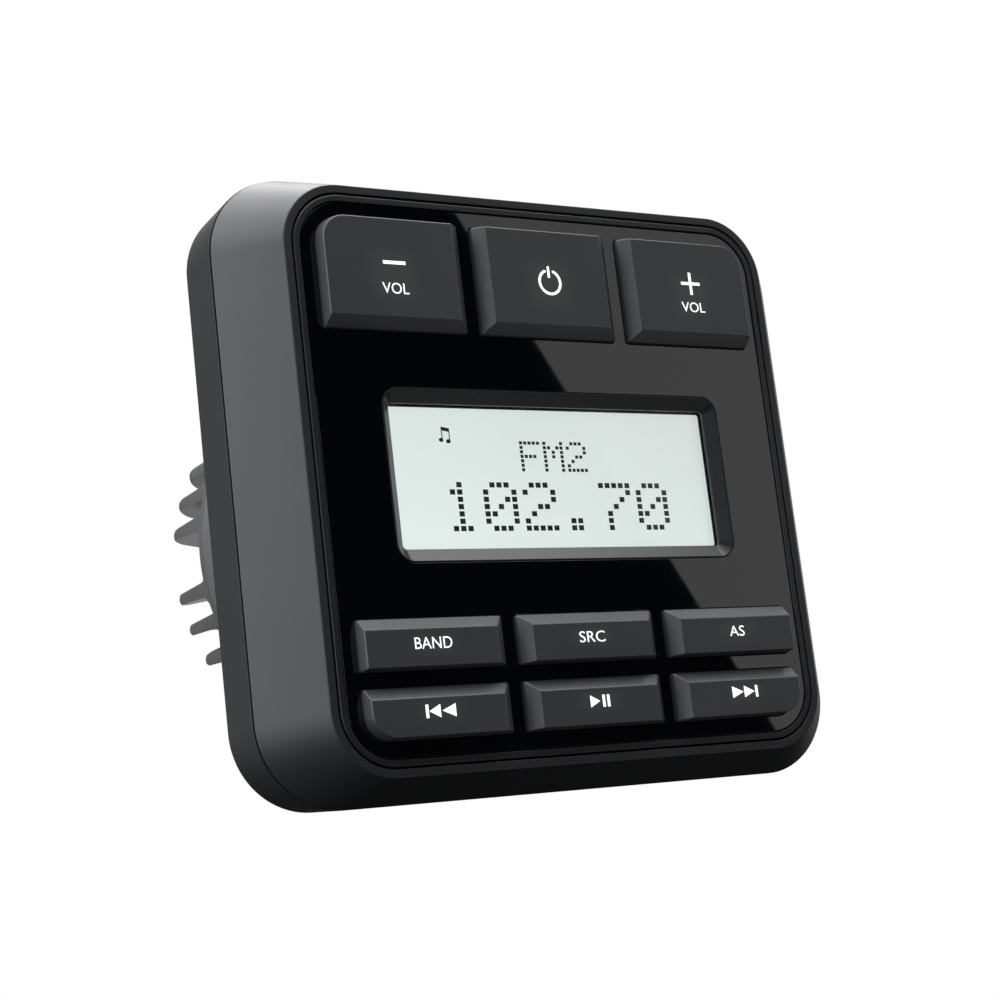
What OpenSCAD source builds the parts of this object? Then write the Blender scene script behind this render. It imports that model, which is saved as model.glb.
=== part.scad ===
// Marine stereo for a round gauge hole in a boat's dash.
// A flared square front carries nine keys and a display. A round barrel behind it passes
// through the dash and ends in a finned heat sink.
// X is right, Y runs into the dash and Z is up. The origin lies on the barrel's axis,
// where the gasket meets the dash.

/* [Front bezel] */
// Width and height of the front rim
rim_w = 94; // [90:0.5:110]
// Corner radius of the front rim
rim_r = 10.5; // [9:0.5:14]
// Depth from the rim's front plane to the seam
front_depth = 9.5; // [8:0.5:14]
// How far each side flares out from the rim to the seam
side_flare = 8.4; // [5:0.2:12]
// How far the top and bottom flare out from the rim to the seam
end_flare = 3.6; // [2:0.2:8]
// Corner radius at the seam
seam_r = 13.8; // [12:0.2:18]
// Wall of the bezel
bezel_wall = 1.5; // [1.2:0.1:2]
// Width of the lip round the front opening
lip_w = 1.43; // [1.1:0.01:1.8]
// Depth of the lip
lip_t = 3.5; // [3:0.1:4.5]
// Edge break on the front rim
rim_edge = 0.4; // [0.2:0.1:0.8]
// Radius of the screw posts
post_r = 3; // [2.6:0.1:3.6]
// How far the screw posts run into the bezel's wall where they start
post_bite = 1; // [0.6:0.1:1.2]
// Depth from the rim at which the posts start
post_start = 6; // [5.6:0.1:8]

/* [Rear frame] */
// Depth of the band behind the seam
band_depth = 11; // [8:0.5:14]
// How far the band draws in towards the dash
band_taper = 0.7; // [0:0.05:1]
// Wall of the band
band_wall = 2.2; // [1.8:0.1:3]
// Edge break at the back of the band
band_edge = 0.5; // [0.2:0.1:1]
// Thickness of the back plate
plate_t = 3; // [2.6:0.1:4]
// Land between the cable opening in the back plate and the barrel's screw holes
plate_land = 2.4; // [2:0.1:6]
// Width of the seam
seam_gap = 0.3; // [0.2:0.05:0.6]
// How deep the seam line is let in
seam_inset = 0.4; // [0.2:0.1:0.6]

/* [Dash gasket] */
// Thickness of the dash gasket
gasket_t = 1.5; // [1:0.1:3]
// How far the gasket stays inside the band's outline
gasket_inset = 2; // [1:0.5:4]
// Gap between the gasket and the barrel
gasket_gap = 2; // [1:0.5:4]

/* [Face panel] */
// Width of the groove inside the lip
groove_w = 0.35; // [0.25:0.05:0.5]
// Visible width of the panel frame
border_w = 0.97; // [0.8:0.01:1.2]
// How far the panel lies behind the rim
panel_set = 0.2; // [0.1:0.05:0.6]
// Thickness of the glossy panel
panel_t = 2; // [1.5:0.1:2.5]
// Gap round the panel in its frame
panel_fit = 0.08; // [0.05:0.01:0.15]
// Thickness of the seal behind the lip
panel_seal_t = 0.3; // [0.2:0.05:0.5]
// Width of the panel frame's flange behind the lip
tray_flange_w = 0.88; // [0.7:0.02:0.9]
// Thickness of that flange
tray_flange_t = 1; // [0.8:0.1:1.4]

/* [Keys] */
// Glossy margin between the keys and the panel's edge
key_margin = 2.75; // [2.4:0.05:3.5]
// Glossy strip between two keys
key_gap = 2.8; // [2.6:0.1:3.6]
// Glossy strip between the top keys and the display
top_gap = 9.3; // [8.5:0.1:12]
// Glossy strip between the lower keys and the display
low_gap = 9.25; // [8.5:0.05:12]
// How far the key faces stand in front of the rim
key_proud = 2.3; // [1.8:0.1:3]
// How far the foot of the bevel stands in front of the rim
key_foot = 0.4; // [0.1:0.1:0.8]
// Width of the bevels that face inwards
key_bevel = 1.7; // [1:0.1:2]
// Draft of the sides that face outwards
key_draft = 0.3; // [0.1:0.05:0.5]
// Radius of the keys at the panel's corners, as a share of the lower keys' height
corner_share = 0.54; // [0.4:0.01:0.6]
// Radius of all other key corners
key_edge_r = 0.4; // [0.31:0.01:0.6]
// Gap round a key in the panel
key_clear = 0.35; // [0.2:0.05:0.4]
// Width of the collar that keeps a key in
key_collar = 0.65; // [0.6:0.05:0.8]
// Thickness of that collar
key_collar_t = 1; // [0.8:0.1:1.4]
// Play of the collar behind the panel
key_play = 0.1; // [0.05:0.05:0.2]
// Travel of a key
key_travel = 0.8; // [0.5:0.1:1.2]

/* [Display] */
// Width of the display recess at the panel
recess_w = 66; // [60:0.5:70]
// Height of the display recess at the panel
recess_h = 27.7; // [24:0.1:30]
// Corner radius of the display recess
recess_r = 2.8; // [2:0.1:4]
// Width of the recess's chamfer
recess_chamfer = 2.05; // [1.5:0.05:2.6]
// Depth of the recess's chamfer
chamfer_depth = 1.2; // [0.8:0.1:1.4]
// Depth of the straight wall behind the chamfer
recess_wall = 0.5; // [0.3:0.1:0.8]
// Flat land round the recess
recess_land = 0.25; // [0.2:0.05:0.4]
// Thickness of the clear window
window_t = 1; // [0.8:0.1:1.5]
// How far the window runs under its frame
window_lap = 0.8; // [0.5:0.1:1]
// Width of the display frame's flange behind the panel
frame_flange = 1; // [0.8:0.1:1.5]
// Thickness of the display cell
cell_t = 2; // [1.5:0.1:2.6]
// How far the cell runs past the window opening
cell_lap = 2; // [1.8:0.1:2.2]
// Wall of the holder round cell and backlight
holder_wall = 1; // [0.8:0.1:1.4]

/* [Key board] */
// Thickness of the key mats
mat_t = 1.2; // [0.8:0.1:1.6]
// Margin of a mat's pad inside its key
pad_inset = 2; // [1.5:0.1:2.4]
// Width of the mats' sealing skirt
skirt_w = 1.2; // [0.8:0.1:1.6]
// Distance of the mats from the display
mat_gap = 6.55; // [6.3:0.05:7.5]
// How far the mats reach past the outer keys
mat_past = 0.9; // [0.7:0.1:1.1]
// Side of a key switch
switch_w = 4.8; // [4:0.1:5]
// Height of a switch's body
switch_h = 2.2; // [1.6:0.1:3]
// Radius of a switch's plunger
plunger_r = 1.5; // [1:0.1:2]
// Height of a switch's plunger
plunger_h = 0.3; // [0.2:0.1:0.5]
// Length of a key light
light_w = 1.6; // [1:0.2:2]
// Distance of a key light from its switch
light_x = 6.5; // [5:0.5:9]
// Thickness of the circuit boards
board_t = 1.6; // [1:0.1:2]
// Corner radius of the key board and the mats
board_r = 10; // [9:0.5:12]
// Radius of the board posts
board_post_r = 2.2; // [1.9:0.1:2.4]
// Size of the controller chip
chip_w = 12; // [8:1:16]

/* [Barrel] */
// Radius of the barrel
barrel_r = 37.5; // [36:0.5:42]
// Wall of the barrel
barrel_wall = 2.5; // [2.2:0.1:3]
// Length of the barrel behind the frame
barrel_len = 41.5; // [34:0.5:60]
// Radius of the bosses at the barrel's front
front_boss_r = 3; // [2.6:0.1:3.4]
// Length of the bosses at the barrel's front
front_boss_len = 12; // [10:0.5:14]
// Angle of the heat sink bosses above and below the horizontal
rear_boss_angle = 48; // [46:0.5:50]
// How far the heat sink bosses run into the barrel's wall
rear_boss_bite = 0.8; // [0.5:0.1:1.5]
// Radius of the heat sink bosses
rear_boss_r = 4.2; // [3.8:0.1:4.6]
// Length of the heat sink bosses
rear_boss_len = 13.3; // [11:0.1:15]

/* [Heat sink] */
// Thickness of the heat sink's plate
sink_t = 3; // [2:0.5:5]
// How far the plate's rim stays inside the barrel's outline
sink_step = 0.5; // [0.45:0.05:1]
// Depth of the spigot that fits the barrel
spigot_t = 4; // [3.6:0.2:6]
// Gap round the spigot
spigot_fit = 0.2; // [0.1:0.05:0.3]
// Length of the fins
fin_len = 14.2; // [8:0.1:18]
// Half thickness of a fin at its tip
fin_tip = 1; // [0.6:0.1:1.2]
// Half thickness of a fin at its root
fin_root = 1.35; // [1.2:0.05:1.6]
// Radius of the fillets at the fins' roots
fin_fillet = 1.2; // [0.6:0.1:1.4]
// Rounding of the fins' outer corners
fin_round = 3.2; // [1:0.1:5]
// Distance of the first fin from the axis
fin_first = 6.1; // [5.5:0.1:7]
// Gap between the outer fins and what stands beside them
fin_gap = 0.75; // [0.5:0.05:2]
// Fins on each side of the axis
fin_count = 3; // [2:1:4]
// Radius of the cord in the round seals
seal_cord_r = 0.55; // [0.45:0.05:0.6]
// Distance of the bracket holes from the spigot's rim
bracket_land = 9.8; // [7:0.1:14]
// Radius of the tapped bracket holes
bracket_hole_r = 2.1; // [1.6:0.05:2.6]
// Depth of the bracket holes
bracket_depth = 6; // [5:0.5:6.5]

/* [Cable glands] */
// Land between a gland and the spigot's rim
gland_land = 1.78; // [1.6:0.02:2.2]
// Distance of each gland from the middle
gland_x = 7.5; // [7:0.1:8]
// Radius of a gland's collar
gland_collar_r = 6; // [5.5:0.1:6.2]
// Thickness of a gland's collar
gland_collar_t = 2; // [1.5:0.1:3]
// Radius of a gland's body in the plate
gland_body_r = 5; // [4.6:0.1:5.2]
// Length of a gland's tapered nose
gland_nose = 6; // [4:0.5:7]
// Radius of the nose at its end
gland_tip_r = 4.8; // [4.5:0.1:5]
// Radius of the harness's bore
harness_r = 4; // [3:0.1:4.2]
// Radius of the antenna lead's bore
antenna_r = 2.75; // [2:0.05:3.5]

/* [Inner pieces] */
// Gap of the main board in the barrel
main_board_gap = 0.4; // [0.3:0.1:1]
// Width of the tuner's shield can
tuner_w = 18; // [12:1:22]
// Height of the tuner's shield can
tuner_h = 14; // [10:1:16]
// Depth of the tuner's shield can
tuner_t = 4; // [3:0.5:6]
// Radius of the capacitors
cap_r = 5; // [3:0.5:6]
// Length of the capacitors
cap_len = 12; // [8:0.5:12.5]
// Distance of each capacitor from the axis
cap_x = 20; // [18:0.5:22]
// Width of the amplifier chip
amp_w = 23; // [18:1:26]
// Height of the amplifier chip
amp_h = 16; // [12:1:18]
// Thickness of the amplifier chip
amp_t = 4.5; // [3:0.5:6]
// Leads of the amplifier chip
lead_count = 11; // [5:2:15]
// Pitch of those leads
lead_pitch = 1.7; // [1.27:0.01:1.7]
// Side of a lead
lead_w = 0.6; // [0.4:0.1:0.8]
// Width of the link board
link_w = 22; // [16:1:26]
// Thickness of the link board
link_t = 1.2; // [0.8:0.1:1.6]
// Height of the link board
link_z = -13; // [-16:0.5:-11]
// Depth of a link socket
socket_t = 4; // [3:0.5:6]
// Floor of a link socket
socket_floor = 1; // [0.6:0.1:1.4]
// Wall of a link socket
socket_wall = 2; // [1.2:0.1:2.5]

/* [Screws] */
// Radius of the case screws
screw_r = 1.25; // [1:0.05:1.4]
// Radius of the case screws' heads
screw_head_r = 2.6; // [2.2:0.1:2.8]
// Height of the case screws' heads
screw_head_t = 1.6; // [1.2:0.1:1.8]
// Reach of the case screws past what they hold
screw_reach = 8; // [6:0.5:9]
// Radius of the board screws
board_screw_r = 1; // [0.8:0.05:1.1]
// Radius of the board screws' heads
board_head_r = 2; // [1.6:0.1:2.2]
// Height of the board screws' heads
board_head_t = 1.4; // [1:0.1:1.6]
// Gap round a screw in the thread that it is driven into
thread_gap = 0.05; // [0.02:0.01:0.08]
// Gap round a screw in the hole that it passes
pass_gap = 0.35; // [0.2:0.05:0.4]
// Gap between two pieces that lie close without touching
close_gap = 0.1; // [0.05:0.01:0.12]

/* [Hidden] */

$fn = 64;
hull_fn = 40;
slice = 0.02;
past = 1;

// Planes along Y, from the dash forwards
band_back_y = -gasket_t;
plate_y = band_back_y - plate_t;
seam_y = band_back_y - band_depth;
rim_y = seam_y - front_depth;

// Planes along Y, from the rim backwards
panel_y = rim_y + panel_set;
panel_back_y = panel_y + panel_t;
lip_back_y = rim_y + lip_t;
tray_flange_y = lip_back_y + panel_seal_t;
collar_y = panel_back_y + key_play;
guide_back_y = collar_y + key_collar_t + key_travel + 3 * close_gap;
tray_back_y = max(guide_back_y, tray_flange_y + tray_flange_t);
mat_back_y = guide_back_y + mat_t;
board_y = mat_back_y + close_gap + plunger_h + switch_h;
board_back_y = board_y + board_t;
window_y = panel_y + chamfer_depth + recess_wall;
cell_y = window_y + window_t + close_gap;
backlight_y = cell_y + cell_t;

// Planes along Y, behind the dash
barrel_end_y = band_back_y + barrel_len;
sink_back_y = barrel_end_y + sink_t;
fin_tip_y = sink_back_y + fin_len;
spigot_y = barrel_end_y - spigot_t;
main_back_y = spigot_y - close_gap - rear_boss_len;
main_y = main_back_y - board_t;

// Outlines that step in from the rim
tray_in = lip_w + groove_w;
tray_w = rim_w - 2 * tray_in;
tray_r = rim_r - tray_in;
panel_w = tray_w - 2 * border_w;
panel_r = tray_r - border_w;
tray_flange = tray_w + 2 * tray_flange_w;
tray_flange_r = tray_r + 2 * tray_flange_w;

// Key grid: three columns from the left, three rows from the top
key_field = panel_w / 2 - key_margin;
key_w = (2 * key_field - 2 * key_gap) / 3;
top_key_h = key_field - recess_h / 2 - top_gap;
low_key_h = (key_field - recess_h / 2 - low_gap - key_gap) / 2;
key_corner = corner_share * low_key_h;
mat_start = recess_h / 2 + mat_gap;
function key_left(col) = -key_field + col * (key_w + key_gap);
function key_low(row) = row == 0 ? key_field - top_key_h : -key_field + (2 - row) * (low_key_h + key_gap);
function key_high(row) = key_low(row) + (row == 0 ? top_key_h : low_key_h);
function key_mid(col, row) = [key_left(col) + key_w / 2, (key_low(row) + key_high(row)) / 2];
key_cells = [for (row = [0:2], col = [0:2]) [col, row]];

// Only the keys at the panel's corners have a round corner
function key_radii(col, row) = [
    col == 0 && row == 2 ? key_corner : key_edge_r,
    col == 2 && row == 2 ? key_corner : key_edge_r,
    col == 2 && row == 0 ? key_corner : key_edge_r,
    col == 0 && row == 0 ? key_corner : key_edge_r
];

// Sides towards the panel's edge are steep, and the others have the wide bevel
function key_insets(col, row) = [
    col == 0 ? key_draft : key_bevel,
    col == 2 ? key_draft : key_bevel,
    row == 0 ? key_bevel : key_draft,
    row == 0 ? key_draft : key_bevel
];

// Display outlines
frame_w = recess_w + 2 * recess_land;
frame_h = recess_h + 2 * recess_land;
frame_r = recess_r + recess_land;
opening_w = recess_w - 2 * recess_chamfer;
opening_h = recess_h - 2 * recess_chamfer;
opening_r = recess_r - recess_chamfer;
holder_w = opening_w + 2 * cell_lap + 2 * close_gap + 2 * holder_wall;
holder_h = opening_h + 2 * cell_lap + 2 * close_gap + 2 * holder_wall;
display_room = 2 * frame_flange + 2 * recess_land + 4 * close_gap;

// Screw places
post_share = post_start / front_depth;
post_corner_r = rim_r + (seam_r - rim_r) * post_share;
post_out = (post_corner_r - bezel_wall - post_r + post_bite) / sqrt(2) - post_corner_r;
post_x = rim_w / 2 + side_flare * post_share + post_out;
post_z = rim_w / 2 + end_flare * post_share + post_out;
post_places = [for (x = [-1, 1], z = [-1, 1]) [x * post_x, z * post_z]];
board_post_z = (holder_h / 2 + mat_start) / 2;
board_post_places = [for (x = [-1, 1], z = [-1, 1]) [x * key_mid(2, 0)[0], z * board_post_z]];
front_boss_pcr = barrel_r - barrel_wall - front_boss_r / 2;
front_boss_places = [for (a = [45:90:315]) front_boss_pcr * [cos(a), sin(a)]];
plate_hole_r = front_boss_pcr - screw_r - pass_gap - plate_land;
rear_boss_pcr = barrel_r - barrel_wall - rear_boss_r + rear_boss_bite;
rear_boss_x = rear_boss_pcr * cos(rear_boss_angle);
rear_boss_z = rear_boss_pcr * sin(rear_boss_angle);
rear_boss_places = [for (x = [-1, 1], z = [-1, 1]) [x * rear_boss_x, z * rear_boss_z]];

// Heat sink: spigot, glands, bracket holes and fins
spigot_r = barrel_r - barrel_wall - spigot_fit;
bracket_x = spigot_r - bracket_land;
gland_pcr = spigot_r - gland_body_r - gland_land;
gland_z = sqrt(gland_pcr * gland_pcr - gland_x * gland_x);
fin_room = min(gland_z - gland_collar_r, rear_boss_z - screw_head_r) - fin_gap;
fin_pitch = (fin_room - fin_root - fin_fillet - fin_first) / (fin_count - 1);

// A flat shape, drawn in X and Z, as a slab from y0 to y1
module slab(y0, y1) {
    translate([0, y1, 0]) rotate([90, 0, 0]) linear_extrude(y1 - y0) children();
}

// A round bar along Y at [x, z]
module bar(at, y0, y1, r) {
    translate([at[0], y1, at[1]]) rotate([90, 0, 0]) cylinder(h = y1 - y0, r = r);
}

// A rectangle with its own radius at each corner, from the lower left round to the upper left
module cornered_rect(x0, x1, z0, z1, r) {
    intersection() {
        translate([x0, z0]) square([x1 - x0, z1 - z0]);
        union() {
            polygon([
                [x0 + r[0], z0], [x1 - r[1], z0], [x1, z0 + r[1]], [x1, z1 - r[2]],
                [x1 - r[2], z1], [x0 + r[3], z1], [x0, z1 - r[3]], [x0, z0 + r[0]]
            ]);
            translate([x0 + r[0], z0 + r[0]]) circle(r[0]);
            translate([x1 - r[1], z0 + r[1]]) circle(r[1]);
            translate([x1 - r[2], z1 - r[2]]) circle(r[2]);
            translate([x0 + r[3], z1 - r[3]]) circle(r[3]);
        }
    }
}

module round_rect(w, h, r) {
    cornered_rect(-w / 2, w / 2, -h / 2, h / 2, [r, r, r, r]);
}

// Outline of the bezel at a share g of the way from the rim to the seam
module flared_outline(g, inset) {
    x = rim_w / 2 + side_flare * g - inset;
    z = rim_w / 2 + end_flare * g - inset;
    r = rim_r + (seam_r - rim_r) * g - inset;
    round_rect(2 * x, 2 * z, r);
}

// Solid between two or more flat shapes, given as slices
module loft() {
    hull($fn = hull_fn) children();
}

// A pan-head screw along Y whose head lies in front of seat_y
module screw_from_front(at, seat_y, tip_y, r, head_r, head_t) {
    bar(at, seat_y, tip_y, r);
    bar(at, seat_y - head_t, seat_y, head_r);
}

// The same screw with its head behind seat_y
module screw_from_back(at, seat_y, tip_y, r, head_r, head_t) {
    bar(at, tip_y, seat_y, r);
    bar(at, seat_y, seat_y + head_t, head_r);
}

module front_bezel() {
    opening = rim_w - 2 * lip_w;
    edge_y = rim_y + rim_edge;
    back_y = seam_y - seam_gap / 2;
    pilot_y = plate_y - screw_reach - close_gap;
    color("dimgray") difference() {
        union() {
            difference() {
                loft() {
                    slab(rim_y, rim_y + slice) flared_outline(0, rim_edge);
                    slab(edge_y, edge_y + slice) flared_outline(rim_edge / front_depth, 0);
                    slab(back_y - slice, back_y) flared_outline(1, 0);
                }
                loft() {
                    slab(lip_back_y, lip_back_y + slice) flared_outline(lip_t / front_depth, bezel_wall);
                    slab(seam_y, seam_y + slice) flared_outline(1, bezel_wall);
                }
                slab(rim_y - past, lip_back_y + past) round_rect(opening, opening, rim_r - lip_w);
            }
            for (at = post_places) bar(at, rim_y + post_start, plate_y - close_gap, post_r);
        }
        for (at = post_places) bar(at, pilot_y, plate_y, screw_r + thread_gap);
    }
}

module bezel_seal() {
    color("black") slab(seam_y - seam_gap / 2, seam_y + seam_gap / 2) difference() {
        flared_outline(1, seam_inset);
        flared_outline(1, bezel_wall);
    }
}

module rear_frame() {
    front_y = seam_y + seam_gap / 2;
    counterbore_y = band_back_y - screw_head_t - close_gap;
    color("#3c3d3f") difference() {
        loft() {
            slab(front_y, front_y + slice) flared_outline(1, 0);
            slab(band_back_y - band_edge - slice, band_back_y - band_edge) flared_outline(1, band_taper);
            slab(band_back_y - slice, band_back_y) flared_outline(1, band_taper + band_edge);
        }
        slab(front_y - past, plate_y) flared_outline(1, band_wall);
        bar([0, 0], plate_y - past, band_back_y + past, plate_hole_r);
        for (at = front_boss_places) bar(at, plate_y - past, band_back_y + past, screw_r + pass_gap);
        for (at = post_places) {
            bar(at, plate_y - past, band_back_y + past, screw_r + pass_gap);
            bar(at, counterbore_y, band_back_y + past, screw_head_r + pass_gap);
        }
    }
}

module bezel_screws() {
    seat_y = band_back_y - screw_head_t - close_gap;
    color("silver") for (at = post_places)
        screw_from_back(at, seat_y, plate_y - screw_reach, screw_r, screw_head_r, screw_head_t);
}

module dash_gasket() {
    color("#1c1c1c") difference() {
        slab(band_back_y, 0) flared_outline(1, band_taper + gasket_inset);
        bar([0, 0], band_back_y - past, past, barrel_r + gasket_gap);
    }
}

module panel_seal() {
    color("black") slab(lip_back_y, tray_flange_y) difference() {
        round_rect(tray_flange, tray_flange, tray_flange_r);
        round_rect(tray_w + 2 * groove_w, tray_w + 2 * groove_w, tray_r + groove_w);
    }
}

// Outline of a key, grown on all sides
module key_outline(col, row, grow) {
    x0 = key_left(col) - grow;
    z0 = key_low(row) - grow;
    radii = [for (r = key_radii(col, row)) r + grow];
    cornered_rect(x0, x0 + key_w + 2 * grow, z0, key_high(row) + grow, radii);
}

module panel_frame() {
    seat = panel_w + 2 * panel_fit;
    color("#262728") difference() {
        union() {
            slab(rim_y, guide_back_y) round_rect(tray_w, tray_w, tray_r);
            slab(tray_flange_y, tray_back_y) difference() {
                round_rect(tray_flange, tray_flange, tray_flange_r);
                round_rect(panel_w, panel_w, panel_r);
            }
            for (at = board_post_places) bar(at, panel_back_y, board_y, board_post_r);
        }
        slab(rim_y - past, panel_back_y) round_rect(seat, seat, panel_r + panel_fit);
        slab(panel_back_y - past, guide_back_y + past) {
            for (cell = key_cells) key_outline(cell[0], cell[1], key_collar + key_clear);
            round_rect(frame_w + display_room, frame_h + display_room, opening_r + holder_wall);
        }
        for (at = board_post_places) bar(at, guide_back_y, board_y + past, board_screw_r + thread_gap);
    }
}

module face_panel() {
    color("#0a0a0d") slab(panel_y, panel_back_y) difference() {
        round_rect(panel_w, panel_w, panel_r);
        for (cell = key_cells) key_outline(cell[0], cell[1], key_clear);
        round_rect(frame_w + 2 * panel_fit, frame_h + 2 * panel_fit, frame_r + panel_fit);
    }
}

module display_frame() {
    chamfer_y = panel_y + chamfer_depth;
    color("#1d1f21") difference() {
        union() {
            slab(panel_y, cell_y) round_rect(frame_w, frame_h, frame_r);
            slab(panel_back_y, cell_y)
                round_rect(frame_w + 2 * frame_flange, frame_h + 2 * frame_flange, frame_r + frame_flange);
        }
        loft() {
            slab(panel_y - slice, panel_y) round_rect(recess_w, recess_h, recess_r);
            slab(chamfer_y, chamfer_y + slice) round_rect(opening_w, opening_h, opening_r);
        }
        slab(panel_y, cell_y + past) round_rect(opening_w, opening_h, opening_r);
        slab(window_y, cell_y + past)
            round_rect(opening_w + 2 * window_lap, opening_h + 2 * window_lap, opening_r + window_lap);
    }
}

module lcd_window() {
    lap = 2 * (window_lap - close_gap);
    color("#dfe8e6", 0.35) slab(window_y, window_y + window_t)
        round_rect(opening_w + lap, opening_h + lap, opening_r + lap / 2);
}

module lcd_cell() {
    color("#dce4e0") slab(cell_y, backlight_y)
        round_rect(opening_w + 2 * cell_lap, opening_h + 2 * cell_lap, opening_r);
}

module lcd_backlight() {
    color("white") slab(backlight_y, board_y)
        round_rect(opening_w + 2 * cell_lap, opening_h + 2 * cell_lap, opening_r);
}

module lcd_holder() {
    inner_w = holder_w - 2 * holder_wall;
    inner_h = holder_h - 2 * holder_wall;
    color("gainsboro") slab(cell_y, board_y) difference() {
        round_rect(holder_w, holder_h, opening_r + holder_wall);
        round_rect(inner_w, inner_h, opening_r);
    }
}

// A key: bevelled cap, straight sides through the panel, and the collar that keeps it in
module key(col, row) {
    foot_y = rim_y - key_foot;
    face_y = rim_y - key_proud;
    inset = key_insets(col, row);
    x0 = key_left(col);
    color("#38393b") {
        loft() {
            slab(face_y, face_y + slice) cornered_rect(
                x0 + inset[0], x0 + key_w - inset[1], key_low(row) + inset[2], key_high(row) - inset[3],
                [for (r = key_radii(col, row)) r - key_draft]
            );
            slab(foot_y, foot_y + slice) key_outline(col, row, 0);
        }
        slab(foot_y, collar_y) key_outline(col, row, 0);
        slab(collar_y, collar_y + key_collar_t) key_outline(col, row, key_collar);
    }
}

module volume_down_key() key(0, 0);
module power_key() key(1, 0);
module volume_up_key() key(2, 0);
module band_key() key(0, 1);
module source_key() key(1, 1);
module store_key() key(2, 1);
module previous_key() key(0, 2);
module play_pause_key() key(1, 2);
module next_key() key(2, 2);

// Outline of a key mat between two heights, inset for its skirt
module mat_outline(z0, z1, inset) {
    x = key_field + mat_past - inset;
    intersection() {
        round_rect(2 * x, 2 * x, board_r - inset);
        translate([-x, z0 + inset]) square([2 * x, z1 - z0 - 2 * inset]);
    }
}

// A silicone mat with a pad under each key of its rows and a skirt that seals on the board
module key_mat(rows, z0, z1) {
    pad_y = collar_y + key_collar_t + close_gap;
    slab(guide_back_y, mat_back_y) mat_outline(z0, z1, 0);
    slab(mat_back_y, board_y) difference() {
        mat_outline(z0, z1, 0);
        mat_outline(z0, z1, skirt_w);
    }
    for (row = rows, col = [0:2])
        slab(pad_y, guide_back_y) translate(key_mid(col, row))
            square([key_w - 2 * pad_inset, key_high(row) - key_low(row) - 2 * pad_inset], center = true);
}

module upper_key_mat() {
    color("gray") key_mat([0], mat_start, key_field + mat_past);
}

module lower_key_mat() {
    color("gray") key_mat([1, 2], -key_field - mat_past, -mat_start);
}

module key_board() {
    w = 2 * (key_field + mat_past);
    color("darkgreen") slab(board_y, board_back_y) difference() {
        round_rect(w, w, board_r);
        for (at = board_post_places) translate(at) circle(board_screw_r + pass_gap);
    }
}

module key_switches() {
    color("#222222") for (cell = key_cells) {
        at = key_mid(cell[0], cell[1]);
        slab(board_y - switch_h, board_y) translate(at) square(switch_w, center = true);
        bar(at, board_y - switch_h - plunger_h, board_y - switch_h, plunger_r);
    }
}

module key_lights() {
    color("white") slab(board_y - light_w / 2, board_y) for (cell = key_cells)
        translate(key_mid(cell[0], cell[1]) + [light_x, 0]) square([light_w, light_w / 2], center = true);
}

module board_screws() {
    tip_y = guide_back_y + close_gap;
    color("silver") for (at = board_post_places)
        screw_from_back(at, board_back_y, tip_y, board_screw_r, board_head_r, board_head_t);
}

module controller_chip() {
    color("#202022") slab(board_back_y, board_back_y + board_t)
        translate([0, key_field / 2]) square(chip_w, center = true);
}

// A slotted socket that the link board plugs into, drawn with its mouth towards +Y
module link_socket(y0) {
    color("ivory") difference() {
        slab(y0, y0 + socket_t) translate([0, link_z])
            square([link_w + 2 * socket_wall, link_t + 2 * socket_wall], center = true);
        slab(y0 + socket_floor, y0 + socket_t + past) translate([0, link_z])
            square([link_w + 2 * close_gap, link_t + 2 * close_gap], center = true);
    }
}

module front_socket() link_socket(board_back_y);

module rear_socket() {
    mirror([0, 1, 0]) link_socket(-main_y);
}

module link_board() {
    color("darkgreen") slab(board_back_y + socket_floor, main_y - socket_floor)
        translate([0, link_z]) square([link_w, link_t], center = true);
}

module barrel_housing() {
    bore_r = barrel_r - barrel_wall;
    groove_r = seal_cord_r + close_gap / 2;
    seal_pcr = barrel_r - barrel_wall / 2;
    color("#5c5d5f") difference() {
        union() {
            difference() {
                bar([0, 0], band_back_y, barrel_end_y, barrel_r);
                bar([0, 0], band_back_y - past, barrel_end_y + past, bore_r);
            }
            intersection() {
                union() {
                    for (at = front_boss_places)
                        bar(at, band_back_y, band_back_y + front_boss_len, front_boss_r);
                    for (at = rear_boss_places) bar(at, main_back_y, spigot_y - close_gap, rear_boss_r);
                }
                bar([0, 0], band_back_y, barrel_end_y, bore_r + barrel_wall / 2);
            }
        }
        translate([0, band_back_y, 0]) rotate([90, 0, 0]) rotate_extrude()
            translate([seal_pcr - groove_r, -2 * groove_r]) square([2 * groove_r, 2 * groove_r + past]);
        for (at = front_boss_places)
            bar(at, band_back_y - past, band_back_y + front_boss_len - past, screw_r + thread_gap);
        for (at = rear_boss_places) bar(at, main_back_y - past, spigot_y + past, screw_r + thread_gap);
    }
}

module barrel_seal() {
    color("black") translate([0, band_back_y + seal_cord_r, 0]) rotate([90, 0, 0]) rotate_extrude()
        translate([barrel_r - barrel_wall / 2, 0]) circle(seal_cord_r);
}

module barrel_screws() {
    color("silver") for (at = front_boss_places)
        screw_from_front(at, plate_y, band_back_y + screw_reach, screw_r, screw_head_r, screw_head_t);
}

module main_board() {
    color("darkgreen") difference() {
        bar([0, 0], main_y, main_back_y, barrel_r - barrel_wall - main_board_gap);
        for (at = rear_boss_places) bar(at, main_y - past, main_back_y + past, screw_r + pass_gap);
    }
}

module main_board_screws() {
    color("silver") for (at = rear_boss_places)
        screw_from_front(at, main_y, main_back_y + screw_reach / 2, screw_r, screw_head_r, screw_head_t);
}

module tuner_module() {
    color("lightgray") slab(main_y - tuner_t, main_y)
        translate([0, tuner_h]) square([tuner_w, tuner_h], center = true);
}

module capacitors() {
    color("midnightblue") for (x = [-1, 1]) bar([x * cap_x, 0], main_back_y, main_back_y + cap_len, cap_r);
}

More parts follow.
